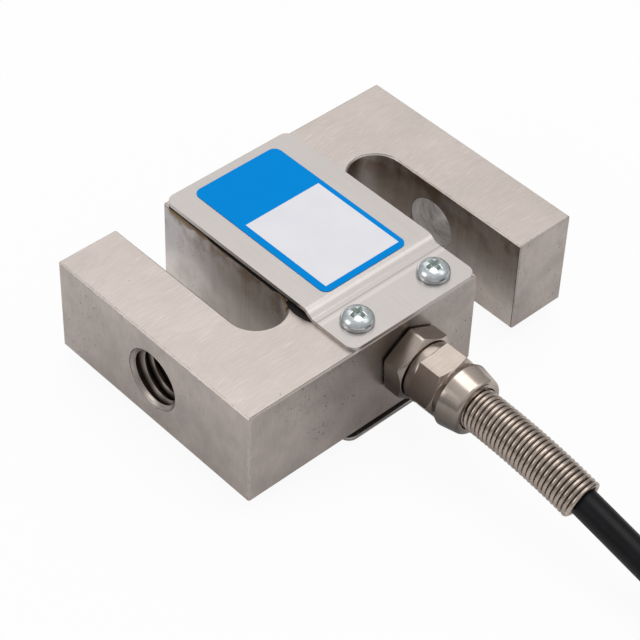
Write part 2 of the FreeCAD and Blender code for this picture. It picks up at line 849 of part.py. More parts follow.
def all_pieces():
    """Every piece by its name."""
    pieces = {
        "body": body(),
        "top_cover": cover(),
        "bottom_cover": turned_over(cover()),
        "top_seal": seal(0),
        "bottom_seal": turned_over(seal(2 * cover_turn_y)),
        "label": label(),
        "gland_seal": gland_seal(),
        "gland_body": gland_body(),
        "clamp_bush": clamp_bush(),
        "thrust_washer": thrust_washer(),
        "gland_nut": gland_nut(),
        "spring_strain_relief": spring_strain_relief(),
        "shear_gauge_top": shear_gauge(),
        "shear_gauge_bottom": on_underside(shear_gauge()),
        "gauge_coating_top": gauge_coating(),
        "gauge_coating_bottom": on_underside(gauge_coating()),
        "terminal_board": terminal_board(),
        "upper_gauge_jumpers": upper_gauge_jumpers(),
        "lower_gauge_wires": lower_gauge_wires(),
        "cable_entry": cable_entry(),
        "cable": free_cable(),
        "cable_coil": cable_coil(),
        "end_sleeve": end_sleeve(),
        "lead_tips": lead_tips(),
    }
    for number, place in enumerate(tab_screws, 1):
        pieces[f"top_screw_{number}"] = screw(place)
        pieces[f"bottom_screw_{number}"] = turned_over(screw(place))
    for number, side in enumerate((-1, 1), 1):
        pieces[f"trim_resistor_{number}"] = trim_resistor(side)
    for number in range(len(core_seats)):
        pieces[f"inner_core_{number + 1}"] = inner_core(number)
    for number, angle_deg in enumerate(tie_angles_deg, 1):
        pieces[f"coil_tie_{number}"] = coil_tie(angle_deg)
    for name, place in lead_places.items():
        pieces[name] = lead(place)
    return pieces


os.makedirs("parts", exist_ok=True)
for name, shape in all_pieces().items():
    print(name, "valid" if shape.isValid() else "NOT VALID", len(shape.Solids), round(shape.Volume, 1))
    shape.exportStep(f"parts/{name}.step")
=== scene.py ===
"""An S type load cell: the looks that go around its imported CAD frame.

Everything is in metres, in the frame's own axes: Z is up, X is the load direction, and the origin
is on the surface that the cell lies on, under the middle of the steel body.
"""

import logging
import math
import random
from dataclasses import dataclass, replace
from functools import partial
from typing import Any, Callable, Sequence

import bmesh
import bpy
from mathutils import Matrix, Vector

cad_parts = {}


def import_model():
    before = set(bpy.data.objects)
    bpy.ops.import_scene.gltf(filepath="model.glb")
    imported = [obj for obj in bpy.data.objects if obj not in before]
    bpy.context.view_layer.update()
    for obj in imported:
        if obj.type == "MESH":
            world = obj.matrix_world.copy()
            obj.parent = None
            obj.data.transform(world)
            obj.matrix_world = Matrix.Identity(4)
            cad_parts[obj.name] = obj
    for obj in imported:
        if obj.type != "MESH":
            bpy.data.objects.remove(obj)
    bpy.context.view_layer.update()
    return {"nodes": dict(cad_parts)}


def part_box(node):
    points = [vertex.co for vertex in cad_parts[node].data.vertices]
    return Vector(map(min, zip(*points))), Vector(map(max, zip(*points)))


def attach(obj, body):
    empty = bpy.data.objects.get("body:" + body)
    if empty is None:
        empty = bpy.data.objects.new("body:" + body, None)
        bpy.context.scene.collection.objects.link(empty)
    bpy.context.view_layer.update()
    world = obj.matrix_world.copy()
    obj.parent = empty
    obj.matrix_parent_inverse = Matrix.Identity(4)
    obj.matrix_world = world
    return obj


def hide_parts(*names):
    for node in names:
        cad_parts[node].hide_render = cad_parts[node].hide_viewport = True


log = logging.getLogger("load_cell")

AddNode = Callable[..., bpy.types.Node]  # add_node, bound to the tree that is being built
Triple = tuple[float, float, float]

MM = 0.001
ROOT = "root"

# Main levels and places of the steel body, in metres, as the part's source has them.
HALF_LENGTH = 38 * MM
HALF_WIDTH = 25 * MM
BAR = 12.75 * MM  # each end's thickness, from its face to the slot
BODY_TOP = 23.2 * MM
BODY_MIDDLE = 13.2 * MM
SHEET = 0.8 * MM
COVER_TURN_Y = -0.6 * MM
GLAND_X = -1.7 * MM
GLAND_Z = 14.25 * MM
SPRING_START_Y = -36.0 * MM  # inside the nut
CABLE_EXIT_Y = -41.52 * MM  # at the nut's mouth


# ---------------------------------------------------------------- small helpers


def linear(hex_colour: str) -> tuple[float, float, float, float]:
    """Turns an sRGB hex colour into a linear one.

    Args:
        hex_colour: Six hex digits.

    Returns:
        Linear red, green and blue, and an alpha of 1.
    """
    levels = [int(hex_colour[start : start + 2], 16) / 255 for start in (0, 2, 4)]
    return (*(v / 12.92 if v <= 0.04045 else ((v + 0.055) / 1.055) ** 2.4 for v in levels), 1.0)


def per_mm(size_mm: float) -> float:
    """The texture scale, per metre, of a pattern whose features are this many millimetres."""
    return 1 / (size_mm * MM)


def add_node(
    tree: bpy.types.NodeTree, kind: str, inputs: dict[Any, Any] | None = None, **settings: Any
) -> bpy.types.Node:
    """Adds a node with its settings, and gives its inputs values or links.

    Args:
        tree: The tree that the node joins.
        kind: The node's type name.
        inputs: Input name or number, and a value, another node's output, or another node, which
            stands for the first output that it has in use.
        **settings: The node's own properties.

    Returns:
        The new node.
    """
    node = tree.nodes.new(kind)
    for name, value in settings.items():
        setattr(node, name, value)
    for key, value in (inputs or {}).items():
        if isinstance(value, bpy.types.Node):
            value = next(output for output in value.outputs if output.enabled)
        if isinstance(value, bpy.types.NodeSocket):
            tree.links.new(value, node.inputs[key])
        else:
            node.inputs[key].default_value = value
    return node


def loose_object(name: str, data: bpy.types.ID) -> bpy.types.Object:
    """Puts data into the scene as an object.

    Args:
        name: The object's name.
        data: Its mesh, curve, lamp or camera.

    Returns:
        The object.
    """
    made = bpy.data.objects.new(name, data)
    bpy.context.scene.collection.objects.link(made)
    return made


def to_mesh(shape: bmesh.types.BMesh) -> bpy.types.Mesh:
    """Writes a bmesh into a new mesh.

    Args:
        shape: The bmesh, which is freed.

    Returns:
        The mesh.
    """
    mesh = bpy.data.meshes.new("mesh")
    shape.to_mesh(mesh)
    shape.free()
    return mesh


def smooth_by_angle(mesh: bpy.types.Mesh, angle_deg: float) -> None:
    """Shades a mesh smooth, and keeps the edges that are sharper than the angle."""
    mesh.polygons.foreach_set("use_smooth", [True] * len(mesh.polygons))
    mesh.set_sharp_from_angle(angle=math.radians(angle_deg))


def baked_mesh(source: bpy.types.Object) -> bpy.types.Mesh:
    """Applies an object's modifiers.

    Args:
        source: The object, which is removed.

    Returns:
        The plain mesh.
    """
    bpy.context.view_layer.update()
    evaluated = source.evaluated_get(bpy.context.evaluated_depsgraph_get())
    mesh = bpy.data.meshes.new_from_object(evaluated)
    bpy.data.objects.remove(source)
    return mesh


def wound_mesh(
    helper: bpy.types.Object, tree: bpy.types.GeometryNodeTree, values: dict[str, Any]
) -> bpy.types.Mesh:
    """Runs a geometry nodes tree on a helper object, which is then removed.

    Args:
        helper: The object whose geometry the tree is given.
        tree: The tree.
        values: Input name and value, set through the socket's identifier.

    Returns:
        The plain mesh that the tree gives.
    """
    modifier = helper.modifiers.new("nodes", "NODES")
    modifier.node_group = tree
    for item in tree.interface.items_tree:
        if item.item_type == "SOCKET" and item.in_out == "INPUT" and item.name in values:
            modifier[item.identifier] = values[item.name]
    return baked_mesh(helper)


def new_tree(
    name: str, inputs: Sequence[tuple[str, str]]
) -> tuple[bpy.types.GeometryNodeTree, AddNode, Any]:
    """Starts a geometry nodes tree that gives one geometry.

    Args:
        name: The tree's name.
        inputs: Name and kind of each input.

    Returns:
        The tree, add_node bound to it, and the outputs of its input node.
    """
    tree = bpy.data.node_groups.new(name, "GeometryNodeTree")
    for label, kind in inputs:
        tree.interface.new_socket(label, in_out="INPUT", socket_type=f"NodeSocket{kind}")
    tree.interface.new_socket("Result", in_out="OUTPUT", socket_type="NodeSocketGeometry")
    add = partial(add_node, tree)
    return tree, add, add("NodeGroupInput").outputs


def close_tree(add: AddNode, made: bpy.types.Node, finish: bpy.types.NodeSocket) -> None:
    """Ends a geometry nodes tree: what it made is realised and given its material.

    Args:
        add: Adds a node to the tree.
        made: The last node of what it made.
        finish: The material, as an input of the tree.
    """
    real = add("GeometryNodeRealizeInstances", {0: made})
    dressed = add("GeometryNodeSetMaterial", {"Geometry": real, "Material": finish})
    add("NodeGroupOutput", {0: dressed})


def laid_curve(name: str, kind: str, points: Sequence[Vector]) -> bpy.types.Curve:
    """A curve of one spline.

    Args:
        name: The curve's name.
        kind: The spline's type.
        points: Its points.

    Returns:
        The curve.
    """
    curve = bpy.data.curves.new(name, "CURVE")
    curve.dimensions = "3D"
    spline = curve.splines.new(kind)
    spline.points.add(len(points) - 1)
    for target, point in zip(spline.points, points):
        target.co = (*point, 1)
    return curve


def softened(node: bpy.types.Object, width: float, segments: int = 2) -> bpy.types.Mesh:
    """A merged copy of a CAD node's mesh with its sharp edges broken.

    Args:
        node: The CAD node, which stays as it is.
        width: How far back each edge is taken.
        segments: Facets across the broken edge.

    Returns:
        A plain mesh. Its broken edges carry the second material.
    """
    merge_distance, flat_deg, sharp_deg = 0.002 * MM, 0.5, 24.0
    shape = bmesh.new()
    shape.from_mesh(node.data)
    bmesh.ops.remove_doubles(shape, verts=shape.verts, dist=merge_distance)
    bmesh.ops.dissolve_limit(
        shape, angle_limit=math.radians(flat_deg), verts=shape.verts, edges=shape.edges
    )
    mesh = to_mesh(shape)
    mesh.materials.clear()
    for name in ("face", "edge"):
        mesh.materials.append(bpy.data.materials.get(name) or bpy.data.materials.new(name))
    mesh.polygons.foreach_set("material_index", [0] * len(mesh.polygons))
    mesh.polygons.foreach_set("use_smooth", [True] * len(mesh.polygons))
    helper = loose_object(node.name + "_helper", mesh)
    bevel = helper.modifiers.new("broken_edge", "BEVEL")
    bevel.width = width
    bevel.segments = segments
    bevel.limit_method = "ANGLE"
    bevel.angle_limit = math.radians(sharp_deg)
    bevel.material = 1
    bevel.use_clamp_overlap = True
    bevel.miter_outer = "MITER_ARC"
    weighted = helper.modifiers.new("flat_faces", "WEIGHTED_NORMAL")
    weighted.weight = 60
    weighted.keep_sharp = False
    return baked_mesh(helper)


def lathe(profile: Sequence[tuple[float, float]], steps: int) -> bmesh.types.BMesh:
    """A solid of revolution about Z.

    Args:
        profile: Radius and height pairs, from the axis at the bottom to the axis at the top.
        steps: Sides around the axis.

    Returns:
        The closed mesh, with its normals outward.
    """
    shape = bmesh.new()
    rings: list[list[bmesh.types.BMVert]] = []
    for radius, height in profile:
        count = 1 if radius == 0 else steps
        turns = [2 * math.pi * step / count for step in range(count)]
        corners = [(radius * math.cos(turn), radius * math.sin(turn), height) for turn in turns]
        rings.append([shape.verts.new(corner) for corner in corners])
    for low, high in zip(rings, rings[1:]):
        for step in range(steps):
            here, following = step, step + 1
            ends = ((low, here), (low, following), (high, following), (high, here))
            corners = [ring[place % len(ring)] for ring, place in ends]
            shape.faces.new(list(dict.fromkeys(corners)))
    bmesh.ops.recalc_face_normals(shape, faces=shape.faces)
    return shape


def skin_mesh(
    sections: Sequence[Sequence[Sequence[float]]], crease_deg: float, ring: bool = False
) -> bpy.types.Mesh:
    """Skins cross sections, which all have as many corners.

    Args:
        sections: The corners of each section, in order round it.
        crease_deg: Edges that turn by more than this stay sharp.
        ring: Whether the last section joins the first one, and otherwise both are closed.

    Returns:
        The closed mesh, with its normals outward.
    """
    shape = bmesh.new()
    rows = [[shape.verts.new(place) for place in section] for section in sections]
    for before, after in zip(rows, rows[1:] + rows[:1] if ring else rows[1:]):
        for here in range(len(before)):
            following = (here + 1) % len(before)
            shape.faces.new((before[here], before[following], after[following], after[here]))
    if not ring:
        shape.faces.new(rows[0])
        shape.faces.new(list(reversed(rows[-1])))
    bmesh.ops.recalc_face_normals(shape, faces=shape.faces)
    mesh = to_mesh(shape)
    smooth_by_angle(mesh, crease_deg)
    return mesh


# ---------------------------------------------------------------- finishes


@dataclass(frozen=True)
class Finish:
    """A finish of one name. Its material is made once, and its surface gives the shader."""

    name: str

    def surface(self, add: AddNode) -> bpy.types.Node:
        """The material's shader.

        Args:
            add: Adds a node to the material.

        Returns:
            The shader.
        """
        raise NotImplementedError

    def material(self) -> bpy.types.Material:
        """Makes the material when it is first asked for.

        Returns:
            The material.
        """
        found = bpy.data.materials.get(self.name)
        if found:
            return found
        made = bpy.data.materials.new(self.name)
        made.use_nodes = True
        made.node_tree.nodes.clear()
        add = partial(add_node, made.node_tree)
        add("ShaderNodeOutputMaterial", {"Surface": self.surface(add)})
        return made


NOISE_INPUTS = ("Vector", "Scale", "Detail", "Roughness")


@dataclass(frozen=True)
class BodySteel(Finish):
    """Nickel-plated steel, milled and then brushed by hand.

    The plating gives a warm, even grey with a soft wide gloss. Fine brush lines cross the wide
    faces, the cutter leaves upright streaks in the slots, and small pits stay dark.
    """

    name: str = "nickel_plated_steel_brushed"
    tone: str = "C9BFB9"
    dull_tone: str = "C1B7B0"
    # The upright faces' dull tone is darker than the tops': partly the milled finish, partly
    # painted shade.
    wall_tone: str = "C6BCB6"
    wall_dull_shaded_tone: str = "A89D97"
    stain_tone: str = "7C6A58"
    # Painted reflection: the slot walls are paler towards +Y.
    painted_reflection_tone: str = "D2D0D6"
    # Painted light: the slot walls are lighter lower down.
    painted_lower_light_tone: str = "E9E0D8"
    scratch_tone: str = "E4DCD4"
    # Painted shade on the steel just above the gland.
    gland_shade_tone: str = "5E534D"
    # Painted shade on the bores' walls.
    bore_shade_tone: str = "6A5D54"
    pit_tone: str = "6A5F58"
    roughness: float = 0.36
    brush_mm: tuple[float, float] = (5.0, 0.18)  # real lines are 0.05 mm wide: drawn to show
    side_length_mm: float = 3.125
    streak_mm: tuple[float, float] = (0.5, 15.0)
    scratch_mm: Triple = (3.2, 0.16, 3.0)
    scratch_turn_deg: float = 9.0
    side_turn_deg: Triple = (35.0, -30.0, 0.0)
    side_contrast: float = 0.14
    slot_contrast: float = 0.24
    speck_mm: float = 0.45
    pit_spacing_mm: float = 2.6
    pit_size: float = 0.05  # of the spacing
    gland_shade_place: Triple = (-5.0 * MM, -25.0 * MM, 20.5 * MM)
    gland_shade_reach: tuple[float, float] = (7.5 * MM, 1.5 * MM)  # where it ends, and where it is full
    bore_radius: float = 6.12 * MM
    bores: tuple[Triple, ...] = (  # the end that it is in, and its middle line
        (-1.0, 0.0, BODY_MIDDLE),
        (1.0, -3.3 * MM, BODY_MIDDLE + 1.0 * MM),
    )

    def layered(
        self,
        add: AddNode,
        tone: bpy.types.Node,
        layers: Sequence[tuple[Sequence[bpy.types.Node], str]],
    ) -> bpy.types.Node:
        """Lays colours over a tone, one after the other.

        Args:
            add: Adds a node to the material.
            tone: What they lie on.
            layers: The factors whose product is the colour's share, and the colour.

        Returns:
            The last mix.
        """
        for factors, over in layers:
            share = factors[0]
            for factor in factors[1:]:
                share = add("ShaderNodeMath", {0: share, 1: factor}, operation="MULTIPLY")
            mixed = {"Factor": share, "A": tone, "B": linear(over)}
            tone = add("ShaderNodeMix", mixed, data_type="RGBA")
        return tone

    def painted_bore_shade(
        self, add: AddNode, here: bpy.types.NodeSocket, along: bpy.types.NodeSocket
    ) -> bpy.types.Node:
        """Painted shade on the walls of both bores, behind their threads.

        Args:
            add: Adds a node to the material.
            here: The point.
            along: Its X.

        Returns:
            1 on the bores' walls and 0 elsewhere.
        """
        film = None
        flat = add("ShaderNodeVectorMath", {0: here, 1: (0.0, 1.0, 1.0)}, operation="MULTIPLY")
        for side, bore_y, bore_z in self.bores:
            middle = {0: flat, 1: (0.0, bore_y, bore_z)}
            off = add("ShaderNodeVectorMath", middle, operation="DISTANCE")
            inside = add("ShaderNodeMath", {0: off, 1: self.bore_radius}, operation="LESS_THAN")
            out = add("ShaderNodeMath", {0: along, 1: side}, operation="MULTIPLY")
            past = {0: out, 1: HALF_LENGTH - BAR + 0.15 * MM}
            in_bar = add("ShaderNodeMath", past, operation="GREATER_THAN")
            bore = add("ShaderNodeMath", {0: inside, 1: in_bar}, operation="MULTIPLY")
            if film:
                bore = add("ShaderNodeMath", {0: film, 1: bore}, operation="MAXIMUM")
            film = bore
        return film

    def surface(self, add: AddNode) -> bpy.types.Node:
        """The plated steel's shader.

        Args:
            add: Adds a node to the material.

        Returns:
            The shader.
        """
        place = add("ShaderNodeTexCoord")
        here = place.outputs["Object"]
        spot = add("ShaderNodeSeparateXYZ", {0: here}).outputs
        normal = add("ShaderNodeVectorMath", {0: place.outputs["Normal"]}, operation="ABSOLUTE")
        facing = add("ShaderNodeSeparateXYZ", {0: normal}).outputs
        far_out = add("ShaderNodeMath", {0: spot["X"]}, operation="ABSOLUTE")
        across = add("ShaderNodeMath", {0: spot["Y"]}, operation="ABSOLUTE")

        # On the wide faces the strokes run along X, a little turned from place to place.
        wander = add("ShaderNodeTexNoise", {"Vector": here, "Scale": per_mm(26), "Detail": 1.0})
        swing = add("ShaderNodeMath", {0: wander, 1: 5 * MM}, operation="MULTIPLY")
        lift = add("ShaderNodeCombineXYZ", {"Y": swing, "Z": swing})
        bent = add("ShaderNodeVectorMath", {0: here, 1: lift}, operation="ADD")
        long, wide = (per_mm(size) for size in self.brush_mm)
        streak, upright = (per_mm(size) for size in self.streak_mm)
        scratch_turn = (0, 0, math.radians(self.scratch_turn_deg))
        side_turn = tuple(math.radians(turn) for turn in self.side_turn_deg)
        ways = {
            "brushed": (bent, (0, 0, 0), (long, wide, wide)),
            "sided": (here, side_turn, (wide, wide, per_mm(self.side_length_mm))),
            "milled": (here, (0, 0, 0), (streak, streak, upright)),
            "scratched": (bent, scratch_turn, tuple(per_mm(size) for size in self.scratch_mm)),
        }
        way = {
            name: add("ShaderNodeMapping", dict(zip(("Vector", "Rotation", "Scale"), row)))
            for name, row in ways.items()
        }
        noises = {
            "brushed": (way["brushed"], 1.0, 3.0, 0.6),
            "sided": (way["sided"], 1.0, 2.0, 0.55),
            "milled": (way["milled"], 1.0, 3.0, 0.65),
            "scratched": (way["scratched"], 1.0, 0.0),
            "cloud": (here, per_mm(9), 4.0),
            "crowd": (here, per_mm(14), 1.0),
            "mottle": (here, per_mm(4.5), 4.0),
            "speck": (here, per_mm(self.speck_mm)),
        }
        noise = {
            name: add("ShaderNodeTexNoise", dict(zip(NOISE_INPUTS, row)))
            for name, row in noises.items()
        }

        # Each ramp: what it reads, from where to where, and the levels that it gives there.
        side, slot = self.side_contrast, self.slot_contrast
        end, flank = HALF_LENGTH - 0.4 * MM, HALF_WIDTH - 0.3 * MM
        ramps = {
            "upward": (facing["Z"], 0.6, 0.8),
            "endward": (facing["X"], 0.6, 0.8),
            "at_end": (far_out, end - 0.2 * MM, end),
            "at_side": (across, flank - 0.1 * MM, flank),
            "sided": (noise["sided"], 0.0, 1.0, 0.5 - side, 0.5 + side),
            "milled": (noise["milled"], 0.0, 1.0, 0.5 - slot, 0.5 + slot),
            "pit_reach": (noise["crowd"], 0.45, 0.7, 0.0, self.pit_size),
            "scratch": (noise["scratched"], 0.7, 0.78, 0.0, 0.35),
            "painted_reflection_reach": (spot["Y"], 5 * MM, 22 * MM, 0.0, 1.2),
            "near_top": (spot["Z"], BODY_MIDDLE - 0.2 * MM, BODY_TOP),
            "blotch": (noise["mottle"], 0.42, 0.62),
            "low": (spot["Z"], 17 * MM, 7 * MM, 0.0, 0.9),
            "speck": (noise["speck"], 0.66, 0.705, 0.0, 0.8),
            "cluster": (noise["crowd"], 0.47, 0.6),
            "clouded": (noise["cloud"], 0.3, 0.7, 0.93, 1.03),
            "blotched": (noise["mottle"], 0.35, 0.65, 0.9, 1.04),
        }
        ramp = {
            name: add("ShaderNodeMapRange", dict(enumerate(row))) for name, row in ramps.items()
        }
        upward, at_side = ramp["upward"], ramp["at_side"]

        # Slot walls stand inside the block: not at an end, and not on a long side.
        ended = {0: ramp["at_end"], 1: ramp["endward"]}
        end_face = add("ShaderNodeMath", ended, operation="MULTIPLY")
        outer = add("ShaderNodeMath", {0: end_face, 1: at_side}, operation="MAXIMUM")
        inward = add("ShaderNodeMath", {0: 1.0, 1: outer}, operation="SUBTRACT")
        below_top = add("ShaderNodeMath", {0: 1.0, 1: upward}, operation="SUBTRACT")
        walls = {"Factor": outer, "A": ramp["milled"], "B": ramp["sided"]}
        walls = add("ShaderNodeMix", walls)
        lines = add("ShaderNodeMix", {"Factor": upward, "A": walls, "B": noise["brushed"]})
        contrast = add("ShaderNodeMapRange", {0: lines, 1: 0.3, 2: 0.65})

        tops, sides = (
            add(
                "ShaderNodeMix",
                {"Factor": contrast, "A": linear(dull), "B": linear(bright)},
                data_type="RGBA",
            )
            for dull, bright in (
                (self.dull_tone, self.tone),
                (self.wall_dull_shaded_tone, self.wall_tone),
            )
        )
        tops = self.layered(add, tops, (((ramp["scratch"],), self.scratch_tone),))
        # In the slots a painted reflection makes the plating paler towards +Y, it is stained brown
        # under the cover, and painted light makes it lighter lower down. Upright faces carry dark
        # specks, in clusters.
        sides = self.layered(
            add,
            sides,
            (
                ((ramp["painted_reflection_reach"], noise["mottle"], inward), self.painted_reflection_tone),
                ((ramp["near_top"], ramp["blotch"], inward), self.stain_tone),
                ((ramp["low"], inward), self.painted_lower_light_tone),
                ((ramp["speck"], ramp["cluster"]), self.pit_tone),
            ),
        )
        tone = add("ShaderNodeMix", {"Factor": upward, "A": sides, "B": tops}, data_type="RGBA")
        # Painted shade: the steel just above the gland is darkened.
        off_gland_shade = add("ShaderNodeVectorMath", {0: here, 1: self.gland_shade_place}, operation="DISTANCE")
        gland_shaded = {0: off_gland_shade, 1: self.gland_shade_reach[0], 2: self.gland_shade_reach[1], 3: 0.0, 4: 0.85}
        gland_shaded = add("ShaderNodeMapRange", gland_shaded, interpolation_type="SMOOTHSTEP")
        # Painted shade on the bores' walls.
        film = self.painted_bore_shade(add, here, spot["X"])
        dark = (((film,), self.bore_shade_tone), ((gland_shaded, at_side, below_top), self.gland_shade_tone))
        tone = self.layered(add, tone, dark)
        clean = add("ShaderNodeMix", {"Factor": upward, "A": ramp["blotched"], "B": 1.0})
        level = add("ShaderNodeMath", {0: ramp["clouded"], 1: clean}, operation="MULTIPLY")
        toned = add("ShaderNodeVectorMath", {0: tone, "Scale": level}, operation="SCALE")

        spacing = {"Vector": here, "Scale": per_mm(self.pit_spacing_mm)}
        cells = add("ShaderNodeTexVoronoi", spacing)
        pit = add("ShaderNodeMath", {0: cells, 1: ramp["pit_reach"]}, operation="LESS_THAN")
        pitted = self.layered(add, toned, (((pit,), self.pit_tone),))
        rough, fine = self.roughness + 0.07, self.roughness - 0.03
        gloss = add("ShaderNodeMapRange", {0: lines, 1: 0.3, 2: 0.7, 3: rough, 4: fine})
        height = add("ShaderNodeMath", {0: pit, 1: -2.0, 2: lines}, operation="MULTIPLY_ADD")
        bump = add("ShaderNodeBump", {"Height": height, "Strength": 0.6, "Distance": 0.005 * MM})
        return add(
            "ShaderNodeBsdfPrincipled",
            {"Base Color": pitted, "Metallic": 1.0, "Roughness": gloss, "Normal": bump},
        )


@dataclass(frozen=True)
class ThreadSteel(Finish):
    """Steel of a tapped bore: bright where the crests rub, with painted shade in the roots."""

    axis: Triple  # a point on the bore's middle line, which runs along X
    crest_tone: str = "958B83"
    # Painted shade in the thread's roots.
    root_shade_tone: str = "4A3F38"
    crest: float = 5.1 * MM
    root: float = 5.85 * MM
    roughness: float = 0.3

    def surface(self, add: AddNode) -> bpy.types.Node:
        """The thread's shader.

        Args:
            add: Adds a node to the material.

        Returns:
            The shader.
        """
        here = add("ShaderNodeTexCoord").outputs["Object"]
        flat = add("ShaderNodeVectorMath", {0: here, 1: (0.0, 1.0, 1.0)}, operation="MULTIPLY")
        radius = add("ShaderNodeVectorMath", {0: flat, 1: self.axis}, operation="DISTANCE")
        depth = add("ShaderNodeMapRange", {0: radius, 1: self.crest, 2: self.root})
        tones = {"Factor": depth, "A": linear(self.crest_tone), "B": linear(self.root_shade_tone)}
        tone = add("ShaderNodeMix", tones, data_type="RGBA")
        chatter = add("ShaderNodeTexNoise", {"Vector": here, "Scale": per_mm(0.5), "Detail": 3.0})
        bump = add("ShaderNodeBump", {"Height": chatter, "Strength": 0.5, "Distance": 0.01 * MM})
        return add(
            "ShaderNodeBsdfPrincipled",
            {"Base Color": tone, "Metallic": 1.0, "Roughness": self.roughness, "Normal": bump},
        )


@dataclass(frozen=True)
class GrainedMetal(Finish):
    """A plated or bare metal with a fine grain in one direction.

    Rolling, turning or drawing leaves lines along one axis, and the gloss spreads across them.
    """

    tone: str
    dull_tone: str
    roughness: float
    grain_mm: Triple  # feature size along X, Y and Z
    bump_mm: float = 0.006
    spread: float = 0.05  # of the roughness, from line to line
    stain_mm: float = 8.0
    stain: float = 0.05
    metallic: float = 1.0
    # Axis, middle, half width, and the level of the tone there. The bands are painted light:
    # painted shade below a level of 1, and a painted highlight above it.
    painted_light_bands: tuple[tuple[str, float, float, float], ...] = ()

    def surface(self, add: AddNode) -> bpy.types.Node:
        """The metal's shader.

        Args:
            add: Adds a node to the material.

        Returns:
            The shader.
        """
        here = add("ShaderNodeTexCoord").outputs["Object"]
        grain_scale = {"Vector": here, "Scale": tuple(per_mm(size) for size in self.grain_mm)}
        stretched = add("ShaderNodeMapping", grain_scale)
        grain, stain = (
            add("ShaderNodeTexNoise", dict(zip(NOISE_INPUTS, row)))
            for row in ((stretched, 1.0, 3.0, 0.6), (here, per_mm(self.stain_mm), 3.0))
        )
        levels = {0: stain, 1: 0.3, 2: 0.7, 3: 1 - self.stain, 4: 1 + self.stain / 2}
        level = add("ShaderNodeMapRange", levels)
        tone = add("ShaderNodeValToRGB", {"Fac": grain})
        stops = ((0.28, self.dull_tone), (0.62, self.tone))
        for element, (position, colour) in zip(tone.color_ramp.elements, stops):
            element.position, element.color = position, linear(colour)
        toned = add("ShaderNodeVectorMath", {0: tone, "Scale": level}, operation="SCALE")
        spot = add("ShaderNodeSeparateXYZ", {0: here}).outputs
        # Painted light: each band darkens or lightens the tone.
        for axis, middle, half_width, strength in self.painted_light_bands:
            off = add("ShaderNodeMath", {0: spot[axis], 1: middle}, operation="SUBTRACT")
            off = add("ShaderNodeMath", {0: off}, operation="ABSOLUTE")
            band = {0: off, 1: half_width, 2: 0.0, 3: 1.0, 4: strength}
            band = add("ShaderNodeMapRange", band, interpolation_type="SMOOTHSTEP")
            toned = add("ShaderNodeVectorMath", {0: toned, "Scale": band}, operation="SCALE")
        rough, fine = self.roughness + self.spread, self.roughness - self.spread
        gloss = add("ShaderNodeMapRange", {0: grain, 1: 0.3, 2: 0.7, 3: rough, 4: fine})
        depth = self.bump_mm * MM
        bump = add("ShaderNodeBump", {"Height": grain, "Strength": 0.6, "Distance": depth})
        return add(
            "ShaderNodeBsdfPrincipled",
            {"Base Color": toned, "Metallic": self.metallic, "Roughness": gloss, "Normal": bump},
        )


@dataclass(frozen=True)
class SoftPolymer(Finish):
    """Rubber, plastic or film: a dielectric with a fine moulded or extruded skin."""

    tone: str
    worn_tone: str
    roughness: float
    skin_mm: float = 0.3
    skin_depth_mm: float = 0.01
    ior: float = 1.5
    specular: float = 0.5
    coat: float = 0.0

    def surface(self, add: AddNode) -> bpy.types.Node:
        """The polymer's shader.

        Args:
            add: Adds a node to the material.

        Returns:
            The shader.
        """
        here = add("ShaderNodeTexCoord").outputs["Object"]
        skin, rub = (
            add("ShaderNodeTexNoise", {"Vector": here, "Scale": per_mm(size), "Detail": detail})
            for size, detail in ((self.skin_mm, 3.0), (7, 4.0))
        )
        worn = add("ShaderNodeMapRange", {0: rub, 1: 0.4, 2: 0.75})
        tones = {"Factor": worn, "A": linear(self.tone), "B": linear(self.worn_tone)}
        tone = add("ShaderNodeMix", tones, data_type="RGBA")
        fine, rough = self.roughness - 0.04, self.roughness + 0.06
        gloss = add("ShaderNodeMapRange", {0: rub, 1: 0.3, 2: 0.7, 3: fine, 4: rough})
        depth = self.skin_depth_mm * MM
        bump = add("ShaderNodeBump", {"Height": skin, "Strength": 0.5, "Distance": depth})
        return add(
            "ShaderNodeBsdfPrincipled",
            {
                "Base Color": tone,
                "Roughness": gloss,
                "IOR": self.ior,
                "Specular IOR Level": self.specular,
                "Coat Weight": self.coat,
                "Coat Roughness": 0.12,
                "Normal": bump,
            },
        )


# Cold-rolled stainless sheet: the rolling lines run along Y, and it is a touch pinker and lighter
# than the plated body.
COVER_STAINLESS = GrainedMetal(
    name="stainless_sheet_rolled",
    tone="C2BCB9",
    dull_tone="BEB8B4",
    roughness=0.34,
    grain_mm=(0.22, 16.0, 2.0),
    bump_mm=0.0006,
    spread=0.02,
    stain=0.02,
)
# Brass, turned and nickel plated: a warm bright metal with faint rings round its axis. Its
# bands paint it darker underneath and on the left: painted shade.
GLAND_BRASS = GrainedMetal(
    name="nickel_plated_brass_turned",
    tone="C2B5AB",
    dull_tone="BAADA3",
    roughness=0.21,
    grain_mm=(9.0, 0.25, 9.0),
    bump_mm=0.0012,
    spread=0.03,
    stain_mm=2.4,
    stain=0.06,
    painted_light_bands=(
        ("Z", GLAND_Z - 2 * MM, 6.5 * MM, 0.4),
        ("Z", GLAND_Z - 7 * MM, 4 * MM, 0.5),
        ("X", GLAND_X - 6.5 * MM, 4.5 * MM, 0.6),
    ),
)
# Where the plated steel's edges were broken by hand: brighter, with small nicks.
WORN_PLATING = GrainedMetal(
    name="nickel_plated_steel_worn_edge",
    tone="D4CBC5",
    dull_tone="877C75",
    roughness=0.3,
    grain_mm=(0.9, 0.9, 0.9),
    bump_mm=0.02,
    spread=0.06,
    stain_mm=3.5,
    stain=0.12,
)
